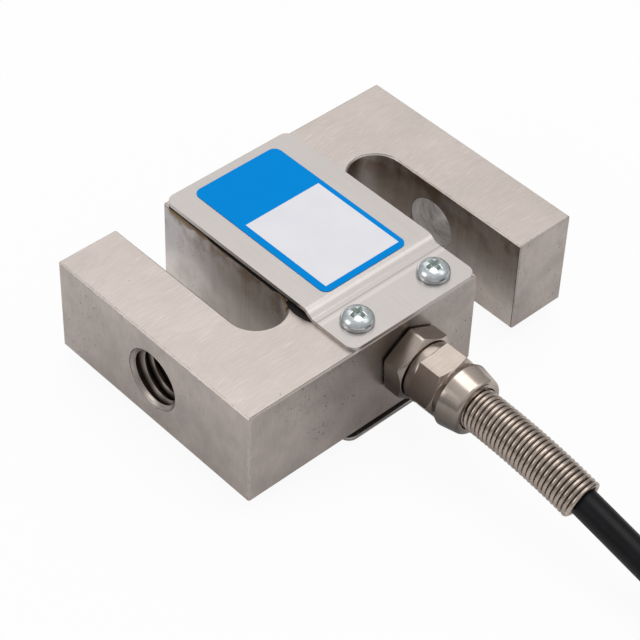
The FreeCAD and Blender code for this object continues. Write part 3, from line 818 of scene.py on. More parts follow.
# Drawn spring wire, nickel plated: smooth, with long thin die lines.
SPRING_WIRE = GrainedMetal(
    name="nickel_plated_spring_wire",
    tone="B9ACA2",
    dull_tone="A99C92",
    roughness=0.22,
    grain_mm=(2.0, 2.0, 2.0),
    bump_mm=0.001,
    stain_mm=2.0,
    stain=0.06,
)
# The far bore's smooth core, reamed and plated, much brighter than the milled slot. Its near-white
# tone and far lower metallic than plating are painted light: they keep it bright in the slot's
# shade.
REAMED_STEEL_PAINTED_LIGHT = GrainedMetal(
    name="nickel_plated_steel_reamed",
    tone="FFFCFA",
    dull_tone="A9A19A",
    roughness=0.28,
    grain_mm=(0.9, 5.0, 5.0),
    bump_mm=0.002,
    stain=0.06,
    metallic=0.15,
)
# The slots' rims, left sharp by the cutter: a thin dark burr that the rag doesn't reach.
CUT_EDGE = GrainedMetal(
    name="nickel_plated_steel_cut_rim",
    tone="655A53",
    dull_tone="352E29",
    roughness=0.45,
    grain_mm=(1.2, 1.2, 1.2),
    bump_mm=0.02,
    stain_mm=4.0,
    stain=0.2,
)
# The cone cut at each bore's mouth after tapping: bright, with rings from the cutter.
COUNTERSUNK_STEEL = GrainedMetal(
    name="nickel_plated_steel_countersunk",
    tone="B3AAA4",
    dull_tone="8B817A",
    roughness=0.4,
    grain_mm=(0.3, 3.0, 3.0),
    bump_mm=0.004,
    stain_mm=3.0,
    stain=0.12,
)
# Steel screw with bright zinc plating: bluish, glossy, a little lumpy where it was headed.
SCREW_ZINC = GrainedMetal(
    name="zinc_plated_screw_steel",
    tone="D9DEE0",
    dull_tone="C6CCCF",
    roughness=0.24,
    grain_mm=(0.6, 0.6, 0.6),
    bump_mm=0.003,
    spread=0.03,
    stain_mm=1.6,
    stain=0.07,
)
# The same plating down in the cross recess, where it is thin, dull and a little green.
RECESS_ZINC = GrainedMetal(
    name="zinc_plated_screw_recess",
    tone="C0C9C6",
    dull_tone="A3ADAA",
    roughness=0.5,
    grain_mm=(0.4, 0.4, 0.4),
)
# Tinned copper strands: pale, soft and slightly frosted.
TINNED_COPPER = GrainedMetal(
    name="tinned_copper",
    tone="CFCBC2",
    dull_tone="9C968B",
    roughness=0.32,
    grain_mm=(0.25, 0.25, 0.25),
    bump_mm=0.02,
)
# Etched constantan foil on its film: coppery lines, 0.4 mm apart.
GAUGE_FOIL = GrainedMetal(
    name="constantan_gauge_foil",
    tone="C79A6A",
    dull_tone="7A5A3A",
    roughness=0.35,
    grain_mm=(0.35, 3.0, 3.0),
    bump_mm=0.01,
)
# Black nitrile rubber sheet: matt, a little grey where it is rubbed.
SEAL_RUBBER = SoftPolymer(
    "black_nitrile_rubber", "16130F", "24201C", 0.7, 0.35, 0.03, specular=0.25
)
# Extruded black PVC: near-black with a soft satin gloss.
CABLE_PVC = SoftPolymer("black_pvc_jacket", "09090D", "0E0E13", 0.34, 0.5, specular=0.19)
# Printed polyester film under a matt laminate: even blue, with hardly any gloss.
LABEL_BLUE = SoftPolymer(
    "blue_polyester_film", "0089DC", "028CDD", 0.6, 0.6, 0.003, specular=0.03
)
# The write-on panel of the film: matt white, faintly blue.
LABEL_WHITE = SoftPolymer("white_polyester_film", "E7E7EC", "E2E2E8", 0.55, 0.4, 0.004)
# Natural nylon: milky, with a moulded satin skin.
TIE_NYLON = SoftPolymer("natural_nylon", "D9D6C8", "CFCCBE", 0.4)
# Glass-epoxy board under green solder mask.
CIRCUIT_GREEN = SoftPolymer("green_solder_mask", "14603A", "1B7346", 0.3, coat=0.3)
# Dipped epoxy body of a small resistor.
RESISTOR_BEIGE = SoftPolymer("beige_epoxy_resistor", "C8AE7E", "B99F70", 0.35)
# Gauge sealant: soft milky silicone, brushed on thick.
SILICONE_CLEAR = SoftPolymer("milky_silicone", "D8D4C6", "C9C4B2", 0.25, 1.5, 0.1, 1.41)
# Cured sealing glue squeezed out under the cover: amber brown, glossy and uneven.
GLUE_BROWN = SoftPolymer("cured_brown_glue", "6E4F26", "94703A", 0.3, 0.9, 0.12, coat=0.2)
# Extruded PVC insulation of the thin leads, in one colour each.
LEAD_FINISHES = {
    colour: SoftPolymer(f"{colour}_pvc_insulation", tone, worn_tone, 0.4, 0.4)
    for colour, tone, worn_tone in (
        ("red", "B3201F", "A81C1C"),
        ("black", "1A1A1C", "232326"),
        ("green", "1E7A3C", "1A6E36"),
        ("white", "E4E3DE", "D8D7D1"),
    )
}
BODY_STEEL = BodySteel()


def new_piece(
    name: str,
    mesh: bpy.types.Mesh,
    finish: Finish,
    slot: str,
    replaces: Sequence[str] = (),
    edge: Finish | None = None,
) -> bpy.types.Object:
    """Makes a mesh a piece of the object: linked, dressed, and riding on the body.

    Args:
        name: The piece's name.
        mesh: Its mesh, already in place.
        finish: The finish that it wears.
        slot: The record's material slot.
        replaces: The CAD nodes that it stands for.
        edge: The finish of the faces that carry the second material, where it has one.

    Returns:
        The piece.
    """
    piece = loose_object(name, mesh)
    mesh.name = name
    edged = [polygon.material_index for polygon in mesh.polygons] if edge else []
    mesh.materials.clear()
    mesh.materials.append(finish.material())
    if edge:
        mesh.materials.append(edge.material())
        mesh.polygons.foreach_set("material_index", edged)
    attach(piece, ROOT)
    if replaces:
        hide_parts(*replaces)
    log.info("%s: %d faces, slot %s", name, len(mesh.polygons), slot)
    return piece


# ---------------------------------------------------------------- steel body


@dataclass
class ThreadRidge:
    """The ridge of an internal M12 thread, standing on the bore's wall."""

    mouth: Vector
    inward: float  # +1 or -1 along X
    end: float
    start: float = 1.0 * MM
    pitch: float = 1.75 * MM
    wall: float = 6.02 * MM
    crest: float = 5.05 * MM
    crest_width: float = 0.2 * MM
    root_width: float = 1.68 * MM
    cone: tuple[tuple[float, float], ...] = (  # the countersink's section: depth and radius
        (0.06 * MM, 6.02 * MM),
        (0.78 * MM, 5.3 * MM),
        (1.35 * MM, 6.02 * MM),
    )
    steps: int = 48
    fade: float = 0.8 * MM
    least_height: float = 0.02  # of the full height, at both ends

    def place(self, depth: float, radius: float, turn: float, hand: float = 1.0) -> Vector:
        """A point in the bore.

        Args:
            depth: How far in from the mouth it is.
            radius: How far from the axis it is.
            turn: Its angle round the axis.
            hand: -1 to count the angle the other way round.

        Returns:
            The point.
        """
        around = (radius * math.cos(turn), radius * math.sin(turn) * hand)
        return self.mouth + Vector((self.inward * depth, *around))

    def mesh(self) -> bpy.types.Mesh:
        """Winds the ridge's section round the bore, and fades it in at both ends.

        Returns:
            The ridge.
        """
        length = self.end - self.start
        count = int(self.steps * length / self.pitch)
        sections = []
        for step in range(count + 1):
            along = length * step / count
            grown = min(1.0, along / self.fade, (length - along) / self.fade)
            grown = max(grown, self.least_height)
            tip = self.wall - (self.wall - self.crest) * grown
            foot, top = self.root_width / 2 * grown, self.crest_width / 2
            corners = ((-foot, self.wall), (-top, tip), (top, tip), (foot, self.wall))
            turn = 2 * math.pi * along / self.pitch
            sections.append(
                [
                    self.place(self.start + along + offset, radius, turn, self.inward)
                    for offset, radius in corners
                ]
            )
        return skin_mesh(sections, crease_deg=25)

    def ring(self, section: Sequence[tuple[float, float]]) -> bpy.types.Mesh:
        """Turns a closed ring round the bore.

        Args:
            section: Depth from the mouth and radius, round the ring's section.

        Returns:
            The ring.
        """
        turns = [math.pi * step / self.steps for step in range(2 * self.steps)]
        sections = [[self.place(*corner, turn) for corner in section] for turn in turns]
        return skin_mesh(sections, crease_deg=30, ring=True)


@dataclass
class SteelBody:
    """The S of plated steel, with the threads of its two bores."""

    nodes: dict[str, bpy.types.Object]
    edge_break: float = 0.1 * MM
    far_bore: tuple[float, float] = (-3.3 * MM, BODY_MIDDLE + 1.0 * MM)
    core_depth: float = 9.0 * MM  # the solid's is 3 mm, past which the bore showed dark
    core_radius: float = 5.13 * MM
    core_inset: float = 0.12 * MM
    slot: str = "nickel_plated_steel"

    def build(self) -> None:
        """Dresses the body, and adds its threads, its countersinks and the far bore's core."""
        soft = softened(self.nodes["body"], self.edge_break)
        body = new_piece("steel_body", soft, BODY_STEEL, self.slot, ["body"], WORN_PLATING)
        body.data.materials.append(CUT_EDGE.material())
        slots_reach = HALF_LENGTH - BAR + 1.5 * self.edge_break
        for polygon in body.data.polygons:
            x, y, _ = polygon.center
            in_slots = abs(x) < slots_reach and abs(y) < HALF_WIDTH - 2 * self.edge_break
            if polygon.material_index == 1 and in_slots:
                polygon.material_index = 2
        near_mouth = Vector((-HALF_LENGTH, 0, BODY_MIDDLE))
        near = ThreadRidge(near_mouth, inward=1, end=BAR - 0.9 * MM)
        far_end = BAR - self.core_depth - 0.2 * MM
        far = ThreadRidge(Vector((HALF_LENGTH, *self.far_bore)), inward=-1, end=far_end)
        for side, ridge in (("near", near), ("far", far)):
            name = f"{side}_thread_ridge"
            finish = ThreadSteel(f"{name}_steel", (0.0, ridge.mouth.y, ridge.mouth.z))
            new_piece(name, ridge.mesh(), finish, self.slot)
            cone = ridge.ring(ridge.cone)
            new_piece(f"{side}_countersink", cone, COUNTERSUNK_STEEL, self.slot)
        deep, shallow = BAR - self.core_inset, BAR - self.core_depth
        inner, outer = self.core_radius, far.wall
        core = far.ring(((deep, inner), (shallow, inner), (shallow, outer), (deep, outer)))
        new_piece("far_bore_core", core, REAMED_STEEL_PAINTED_LIGHT, self.slot)


@dataclass
class SealingGlue:
    """Brown sealing glue that has run out under the cover and down the slot's wall."""

    wall_x: float = -14.45 * MM
    slot_middle: float = -19.85 * MM
    slot_end_y: float = -5.9 * MM
    start_y: float = 23.4 * MM
    end_deg: float = 42.0
    step: float = 0.35 * MM
    bulge: float = 0.26 * MM
    sink: float = 0.03 * MM  # how far every bead's back stands in the steel
    seed: int = 7
    wave_count: int = 9
    # From and to of each wave's rate per millimetre, its lag, and its height in millimetres.
    wave_spans: tuple[tuple[float, float], ...] = ((0.5, 3.2), (0, 6.3), (0.08, 0.3))
    wave_share: float = 0.55
    open_drop_mm: float = 1.5  # at the slot's open end
    lost_drop_mm: float = 0.95  # how much less it is further in
    lost_by: float = 1.3
    gathered_mm: float = 1.5  # how much more it is at its own end
    gathers: tuple[float, float] = (0.86, 0.14)  # from this share of its length, over that much
    least_drop_mm: float = 0.12
    lip_y: tuple[float, float] = (-8.3 * MM, -14.9 * MM)
    lip_width: float = 0.8 * MM
    lip_height: float = 0.5 * MM
    lip_tuck: float = 0.6 * MM
    lip_steps: int = 24
    strip_reach: tuple[float, float] = (0.24, 0.89)  # of the glue's length
    strip_swell: float = 0.27 * MM
    strip_drop: float = 0.42 * MM

    def stations(self) -> list[tuple[Vector, Vector, float]]:
        """Places along the wall's upper edge.

        Returns:
            For each place the point, the way out of the steel, and how far down the glue runs.
        """
        radius = self.wall_x - self.slot_middle
        straight = self.start_y - self.slot_end_y
        whole = straight + radius * math.radians(self.end_deg)
        count = int(whole / self.step)
        chance = random.Random(self.seed)
        waves = [
            [chance.uniform(*span) for span in self.wave_spans] for _ in range(self.wave_count)
        ]
        rows = []
        for step in range(count + 1):
            along = whole * step / count
            if along < straight:
                point = Vector((self.wall_x, self.start_y - along, BODY_TOP))
                out = Vector((-1, 0, 0))
            else:
                turn = -(along - straight) / radius
                reach = Vector((math.cos(turn), math.sin(turn), 0))
                point = Vector((self.slot_middle, self.slot_end_y, BODY_TOP)) + reach * radius
                out = -reach
            wave = sum(size * math.sin(rate * along / MM + lag) for rate, lag, size in waves)
            share = along / whole
            lost = self.lost_drop_mm * min(1.0, share * self.lost_by)
            gathered = self.gathered_mm * max(0.0, share - self.gathers[0]) / self.gathers[1]
            reach_down = self.open_drop_mm - lost + gathered + wave * self.wave_share
            drop = max(self.least_drop_mm, reach_down) * MM
            rows.append((point, out, drop * min(1.0, 0.25 + step / 3, 0.25 + (count - step) / 3)))
        return rows

    def build(self) -> None:
        """Lays the glue, the black seal along it, and the seal lens by the joggle, partly painted
        shade.
        """
        beads = (
            ("sealing_glue", self.glue(), GLUE_BROWN),
            ("seal_strip", self.strip(), SEAL_RUBBER),
            # The lens is partly painted shade under the cover's edge.
            ("seal_lip", self.lip(), SEAL_RUBBER),
        )
        for name, sections, finish in beads:
            new_piece(name, skin_mesh(sections, crease_deg=80), finish, "black_rubber")

    def glue(self) -> list[list[Vector]]:
        """Shapes the glue.

        Returns:
            Its sections.
        """
        sections = []
        for point, out, drop in self.stations():
            swell = min(self.bulge, drop * 0.3)
            corners = (
                (-self.sink, 0.0),
                (swell * 0.8, self.sink),
                (swell, 0.35 * drop),
                (swell * 0.75, 0.8 * drop),
                (-self.sink, drop),
            )
            sections.append([point + out * far - Vector((0, 0, low)) for far, low in corners])
        return sections

    def strip(self) -> list[list[Vector]]:
        """Shapes the black seal that is pressed out along the wall's upper edge.

        Returns:
            Its sections.
        """
        stations = self.stations()
        first, last = (int(len(stations) * share) for share in self.strip_reach)
        sections = []
        for step, (point, out, _) in enumerate(stations[first:last]):
            grown = min(1.0, 0.15 + step / 14, 0.15 + (last - first - 1 - step) / 5)
            swell, drop = self.strip_swell * grown, self.strip_drop * grown
            corners = ((-self.sink, 0.0), (swell, 0.0), (swell, 0.6 * drop), (-self.sink, drop))
            sections.append([point + out * far - Vector((0, 0, low)) for far, low in corners])
        return sections

    def lip(self) -> list[list[Vector]]:
        """Shapes the lens of black seal that is pressed out beside the cover's joggle, partly
        painted shade under the cover's edge.

        Returns:
            Its sections.
        """
        edge_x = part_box("top_cover")[0][0]
        first_y, last_y = self.lip_y
        sections = []
        for step in range(self.lip_steps + 1):
            share = step / self.lip_steps
            reach = self.lip_width * max(0.05, math.sin(math.pi * share) ** 0.8)
            rise = self.lip_height * max(0.1, math.sin(math.pi * share) ** 0.5)
            corners = (
                (self.lip_tuck, -self.sink),
                (self.lip_tuck, rise),
                (-reach * 0.3, rise * 0.9),
                (-reach * 0.8, rise * 0.5),
                (-reach, -self.sink),
            )
            y = first_y + (last_y - first_y) * share
            sections.append([Vector((edge_x + x, y, BODY_TOP + z)) for x, z in corners])
        return sections


@dataclass
class Covers:
    """The two pressed sheets and their four screws."""

    nodes: dict[str, bpy.types.Object]
    edge_round: float = 0.33 * MM
    # Painted light on the joggle: a painted highlight on its upper bend and just past its lower
    # one, and painted shade in the lower bend.
    joggle_painted_light: tuple[Triple, ...] = (
        (-13.85 * MM, 0.5 * MM, 1.35),
        (-16.05 * MM, 0.22 * MM, 0.68),
        (-16.9 * MM, 0.7 * MM, 1.15),
    )
    screw_middle: float = -0.7 * MM
    screw_reach: float = 9.0 * MM
    screw_y: float = -20.2 * MM
    head_radius: float = 3.0 * MM
    head_height: float = 2.3 * MM
    # The pan head's dome: shares of the radius and of the height, from the seat up.
    dome: tuple[tuple[float, float], ...] = (
        (0.95, 0),
        (1.0, 0.06),
        (1.0, 0.26),
        (0.975, 0.4),
        (0.91, 0.56),
        (0.8, 0.72),
        (0.64, 0.86),
        (0.42, 0.96),
        (0.2, 0.995),
        (0, 1.0),
    )
    head_sides: int = 56
    head_edge: float = 0.07 * MM
    shank_radius: float = 1.45 * MM
    shank_length: float = 6.0 * MM
    shank_tip: tuple[float, float] = (0.75, 0.4 * MM)  # share of its radius, and its height
    recess_reach: float = 1.95 * MM
    recess_width: float = 1.05 * MM
    recess_depth: float = 1.15 * MM
    recess_taper: tuple[float, float] = (0.42, 0.6)  # share of reach and width, at the bottom
    recess_flare: float = 1.12  # and of both, above the head, where the cutting tool starts
    tool_above: float = 0.6 * MM
    recess_turns_deg: tuple[float, ...] = (5.0, -4.0, 22.0, -31.0)

    def build(self) -> None:
        """Makes the sheets with rolled edges, and sets the screws in them."""
        for side in ("top", "bottom"):
            painted_light_bands = tuple(
                ("Y", y if side == "top" else 2 * COVER_TURN_Y - y, half_width, level)
                for y, half_width, level in self.joggle_painted_light
            )
            finish = replace(COVER_STAINLESS, name=f"{COVER_STAINLESS.name}_{side}", painted_light_bands=painted_light_bands)
            node = f"{side}_cover"
            sheet = softened(self.nodes[node], self.edge_round, segments=4)
            new_piece(f"{node}_sheet", sheet, finish, "stainless_sheet", [node])
        self.build_screws()

    def recess_tool(self, quarter: int) -> bpy.types.Object:
        """One tapered bar of the cross recess, to be cut out of the head.

        Args:
            quarter: Which way it lies, in quarter turns.

        Returns:
            The bar.
        """
        shape = bmesh.new()
        bmesh.ops.create_cube(shape, size=2)
        for vert in shape.verts:
            low = vert.co.z < 0
            shares = self.recess_taper if low else (self.recess_flare, self.recess_flare)
            reach, half = self.recess_reach * shares[0], self.recess_width / 2 * shares[1]
            depth = -self.recess_depth if low else self.tool_above
            vert.co = Vector((vert.co.x * reach, vert.co.y * half, self.head_height + depth))
        turn = Matrix.Rotation(math.pi / 2 * quarter, 3, "Z")
        bmesh.ops.rotate(shape, verts=shape.verts, matrix=turn)
        return loose_object("recess_tool", to_mesh(shape))

    def screw_mesh(self) -> bpy.types.Mesh:
        """One pan head screw with a tapered cross recess, its seat at the origin.

        Returns:
            The screw, with its recess marked by a face attribute.
        """
        radius, height = self.head_radius, self.head_height
        tip_share, tip_height = self.shank_tip
        profile = [
            (0, -self.shank_length),
            (self.shank_radius * tip_share, -self.shank_length),
            (self.shank_radius, -self.shank_length + tip_height),
            (self.shank_radius, 0),
            *((radius * out, height * up) for out, up in self.dome),
        ]
        head = loose_object("screw_helper", to_mesh(lathe(profile, self.head_sides)))
        tools = [self.recess_tool(quarter) for quarter in range(2)]
        for tool in tools:
            cut = head.modifiers.new("recess", "BOOLEAN")
            cut.operation = "DIFFERENCE"
            cut.solver = "EXACT"
            cut.object = tool
        soft = head.modifiers.new("soft_edges", "BEVEL")
        soft.width = self.head_edge
        soft.segments = 2
        soft.limit_method = "ANGLE"
        soft.angle_limit = math.radians(30)
        mesh = baked_mesh(head)
        for tool in tools:
            bpy.data.objects.remove(tool)
        smooth_by_angle(mesh, angle_deg=40)
        recess = mesh.attributes.new("recess", "BOOLEAN", "FACE")
        for polygon in mesh.polygons:
            x, y, z = polygon.center
            inside = math.hypot(x, y) < self.recess_reach and 0 < z < height * 0.9
            recess.data[polygon.index].value = inside
        return mesh

    def setting_tree(self) -> bpy.types.GeometryNodeTree:
        """Geometry nodes that set one screw on each point, turned as the point says.

        Returns:
            The tree.
        """
        kinds = (("Places", "Geometry"), ("Screw", "Object"), ("Screw Finish", "Material"))
        tree, add, given = new_tree("set_screws_on_points", kinds)
        model = add("GeometryNodeObjectInfo", {"Object": given["Screw"]}).outputs["Geometry"]
        turn = add(
            "GeometryNodeInputNamedAttribute", {"Name": "turn"}, data_type="FLOAT_VECTOR"
        )
        rotation = add("FunctionNodeEulerToRotation", {"Euler": turn.outputs["Attribute"]})
        screws = {"Points": given["Places"], "Instance": model, "Rotation": rotation}
        placed = add("GeometryNodeInstanceOnPoints", screws)
        close_tree(add, placed, given["Screw Finish"])
        return tree

    def build_screws(self) -> None:
        """Sets two screws in each cover."""
        seat = BODY_TOP + SHEET
        under = (2 * COVER_TURN_Y - self.screw_y, 2 * BODY_MIDDLE - seat, math.pi)
        spots = [
            (self.screw_middle + side * self.screw_reach, y, z, flip)
            for y, z, flip in ((self.screw_y, seat, 0.0), under)
            for side in (-1, 1)
        ]
        places = bpy.data.meshes.new("screw_places")
        places.from_pydata([spot[:3] for spot in spots], [], [])
        turns = places.attributes.new("turn", "FLOAT_VECTOR", "POINT")
        for item, spot, turn in zip(turns.data, spots, self.recess_turns_deg):
            item.vector = (spot[3], 0.0, math.radians(turn))
        model = loose_object("screw_model", self.screw_mesh())
        values = {"Screw": model, "Screw Finish": SCREW_ZINC.material()}
        mesh = wound_mesh(loose_object("screws_helper", places), self.setting_tree(), values)
        bpy.data.objects.remove(model)
        recess = mesh.attributes["recess"].data
        for polygon in mesh.polygons:
            polygon.material_index = int(recess[polygon.index].value)
        nodes = [f"{side}_screw_{number}" for side in ("top", "bottom") for number in (1, 2)]
        new_piece("cover_screws", mesh, SCREW_ZINC, "zinc_screw", nodes, RECESS_ZINC)


@dataclass
class Gland:
    """The hexagon gland and its domed nut, with their edges broken as turned parts have them."""

    nodes: dict[str, bpy.types.Object]
    edge_break: float = 0.14 * MM
    collar_start: float = -29.69 * MM
    collar_length: float = 1.55 * MM
    collar_radius: float = 5.71 * MM
    collar_inside: float = 5.3 * MM
    collar_steps: int = 96
    slot: str = "nickel_plated_brass"

    def build(self) -> list[str]:
        """Makes the three pieces.

        Returns:
            Their names.
        """
        names = {"gland_body": "gland_hexagon", "gland_nut": "gland_domed_nut"}
        for node, name in names.items():
            mesh = softened(self.nodes[node], self.edge_break, segments=3)
            new_piece(name, mesh, GLAND_BRASS, self.slot, [node])
        new_piece("nut_collar_ring", self.collar_mesh(), GLAND_BRASS, self.slot)
        return [*names.values(), "nut_collar_ring"]

    def collar_mesh(self) -> bpy.types.Mesh:
        """A fine ring over the nut's collar, where the merged copy's shading shows flecks.

        Returns:
            The ring.
        """
        outer, inner, length = self.collar_radius, self.collar_inside, self.collar_length
        soft = self.edge_break
        section = (
            (inner, 0.0),
            (outer - soft, 0.0),
            (outer - 0.3 * soft, 0.3 * soft),
            (outer, soft),
            (outer, length),
            (inner, length),
        )
        turns = [2 * math.pi * step / self.collar_steps for step in range(self.collar_steps)]
        sections = [
            [
                (
                    GLAND_X + radius * math.cos(turn),
                    self.collar_start - along,
                    GLAND_Z + radius * math.sin(turn),
                )
                for radius, along in section
            ]
            for turn in turns
        ]
        return skin_mesh(sections, crease_deg=50, ring=True)


def dress(node: bpy.types.Object, finish: Finish) -> None:
    """Gives every material slot of a CAD node one finish."""
    for material_slot in node.material_slots:
        material_slot.material = finish.material()


# ---------------------------------------------------------------- label


@dataclass
class Label:
    """The blue film on the top cover, with its blank write-on panel."""

    nodes: dict[str, bpy.types.Object]
    panel_x: tuple[float, float] = (-8.9 * MM, 8.3 * MM)
    panel_y: tuple[float, float] = (-11.5 * MM, 9.1 * MM)
    panel_z: tuple[float, float] = (-0.02 * MM, 0.03 * MM)  # from the film's top

    def build(self) -> None:
        """Dresses the film and lays the panel on it."""
        dress(self.nodes["label"], LABEL_BLUE)
        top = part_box("label")[1][2]
        spans = (self.panel_x, self.panel_y, tuple(top + z for z in self.panel_z))
        shape = bmesh.new()
        bmesh.ops.create_cube(shape, size=1)
        for vert in shape.verts:
            vert.co = Vector([span[at > 0] for span, at in zip(spans, vert.co)])
        new_piece("label_panel", to_mesh(shape), LABEL_WHITE, "label_film")


# ---------------------------------------------------------------- strain relief spring


@dataclass
class StrainReliefSpring:
    """Close-wound spring round the cable, from inside the nut out along its droop."""

    start: Vector
    outer: float = 4.0 * MM
    wire: float = 0.88 * MM
    pitch: float = 0.92 * MM
    turns: int = 33
    straight_turns: int = 6
    flare: float = 0.6 * MM
    flare_turns: float = 2.0
    droop_deg: float = 12.4
    axis_steps: int = 24
    points_per_turn: int = 26
    wire_sides: int = 10

    def axis(self) -> bpy.types.Curve:
        """The spring's own axis: straight in the nut, and then one even bend down.

        Returns:
            A poly curve whose length is the wound length.
        """
        straight = self.straight_turns * self.pitch
        bent = (self.turns - self.straight_turns) * self.pitch
        bend = bent / math.radians(self.droop_deg)
        points = [self.start, self.start - Vector((0, straight, 0))]
        for step in range(1, self.axis_steps + 1):
            angle = math.radians(self.droop_deg) * step / self.axis_steps
            drop = Vector((0, bend * math.sin(angle), bend * (1 - math.cos(angle))))
            points.append(points[1] - drop)
        return laid_curve("spring_axis", "POLY", points)

    def winding_tree(self) -> bpy.types.GeometryNodeTree:
        """Geometry nodes that wind a wire round the curve that they are given.

        Returns:
            A tree with named inputs for the winding's sizes.
        """
        floats = ("Turns", "Coil Radius", "Flare", "Flare Turns", "Wire Radius")
        kinds = [("Axis", "Geometry"), *((name, "Float") for name in floats)]
        kinds += [("Points", "Int"), ("Wire Sides", "Int"), ("Wire Finish", "Material")]
        tree, add, given = new_tree("wind_wire_round_axis", kinds)
        line = {"Curve": add("GeometryNodeCurvePrimitiveLine"), "Count": given["Points"]}
        stations = add("GeometryNodeResampleCurve", line)
        part = add("GeometryNodeSplineParameter").outputs["Factor"]
        guide = add(
            "GeometryNodeSampleCurve",
            {"Curves": given["Axis"], "Factor": part},
            mode="FACTOR",
            use_all_curves=True,
        ).outputs
        tangent, normal = guide["Tangent"], guide["Normal"]
        turned = add("ShaderNodeMath", {0: part, 1: given["Turns"]}, operation="MULTIPLY")
        angle = add("ShaderNodeMath", {0: turned, 1: 2 * math.pi}, operation="MULTIPLY")
        flare_end = add("ShaderNodeMath", {0: given["Flare Turns"], 1: 1.0}, operation="ADD")
        flare = {0: turned, 1: given["Flare Turns"], 2: flare_end, 3: given["Flare"], 4: 0.0}
        flare = add("ShaderNodeMapRange", flare, interpolation_type="SMOOTHSTEP")
        radius = add("ShaderNodeMath", {0: given["Coil Radius"], 1: flare}, operation="ADD")
        side = add("ShaderNodeVectorMath", {0: tangent, 1: normal}, operation="CROSS_PRODUCT")
        placed = guide["Position"]
        for function, direction in (("COSINE", normal), ("SINE", side)):
            swing = add("ShaderNodeMath", {0: angle}, operation=function)
            reach = add("ShaderNodeMath", {0: swing, 1: radius}, operation="MULTIPLY")
            offset = {0: direction, "Scale": reach}
            offset = add("ShaderNodeVectorMath", offset, operation="SCALE")
            placed = add("ShaderNodeVectorMath", {0: placed, 1: offset}, operation="ADD")
        wound = add("GeometryNodeSetPosition", {"Geometry": stations, "Position": placed})
        circle = {"Resolution": given["Wire Sides"], "Radius": given["Wire Radius"]}
        section = add("GeometryNodeCurvePrimitiveCircle", circle)
        wire = {"Curve": wound, "Profile Curve": section, "Fill Caps": True}
        close_tree(add, add("GeometryNodeCurveToMesh", wire), given["Wire Finish"])
        return tree

    def build(self) -> bpy.types.Object:
        """Winds the wire and puts it in the place of the CAD sleeve.

        Returns:
            The spring.
        """
        values = {
            "Turns": float(self.turns),
            "Coil Radius": self.outer - self.wire / 2,
            "Flare": self.flare,
            "Flare Turns": self.flare_turns,
            "Wire Radius": self.wire / 2,
            "Points": self.turns * self.points_per_turn,
            "Wire Sides": self.wire_sides,
            "Wire Finish": SPRING_WIRE.material(),
        }
        helper = loose_object("spring_helper", self.axis())
        mesh = wound_mesh(helper, self.winding_tree(), values)
        smooth_by_angle(mesh, angle_deg=50)
        node = "spring_strain_relief"
        return new_piece("strain_relief_spring", mesh, SPRING_WIRE, "spring_wire", [node])


# ---------------------------------------------------------------- cable


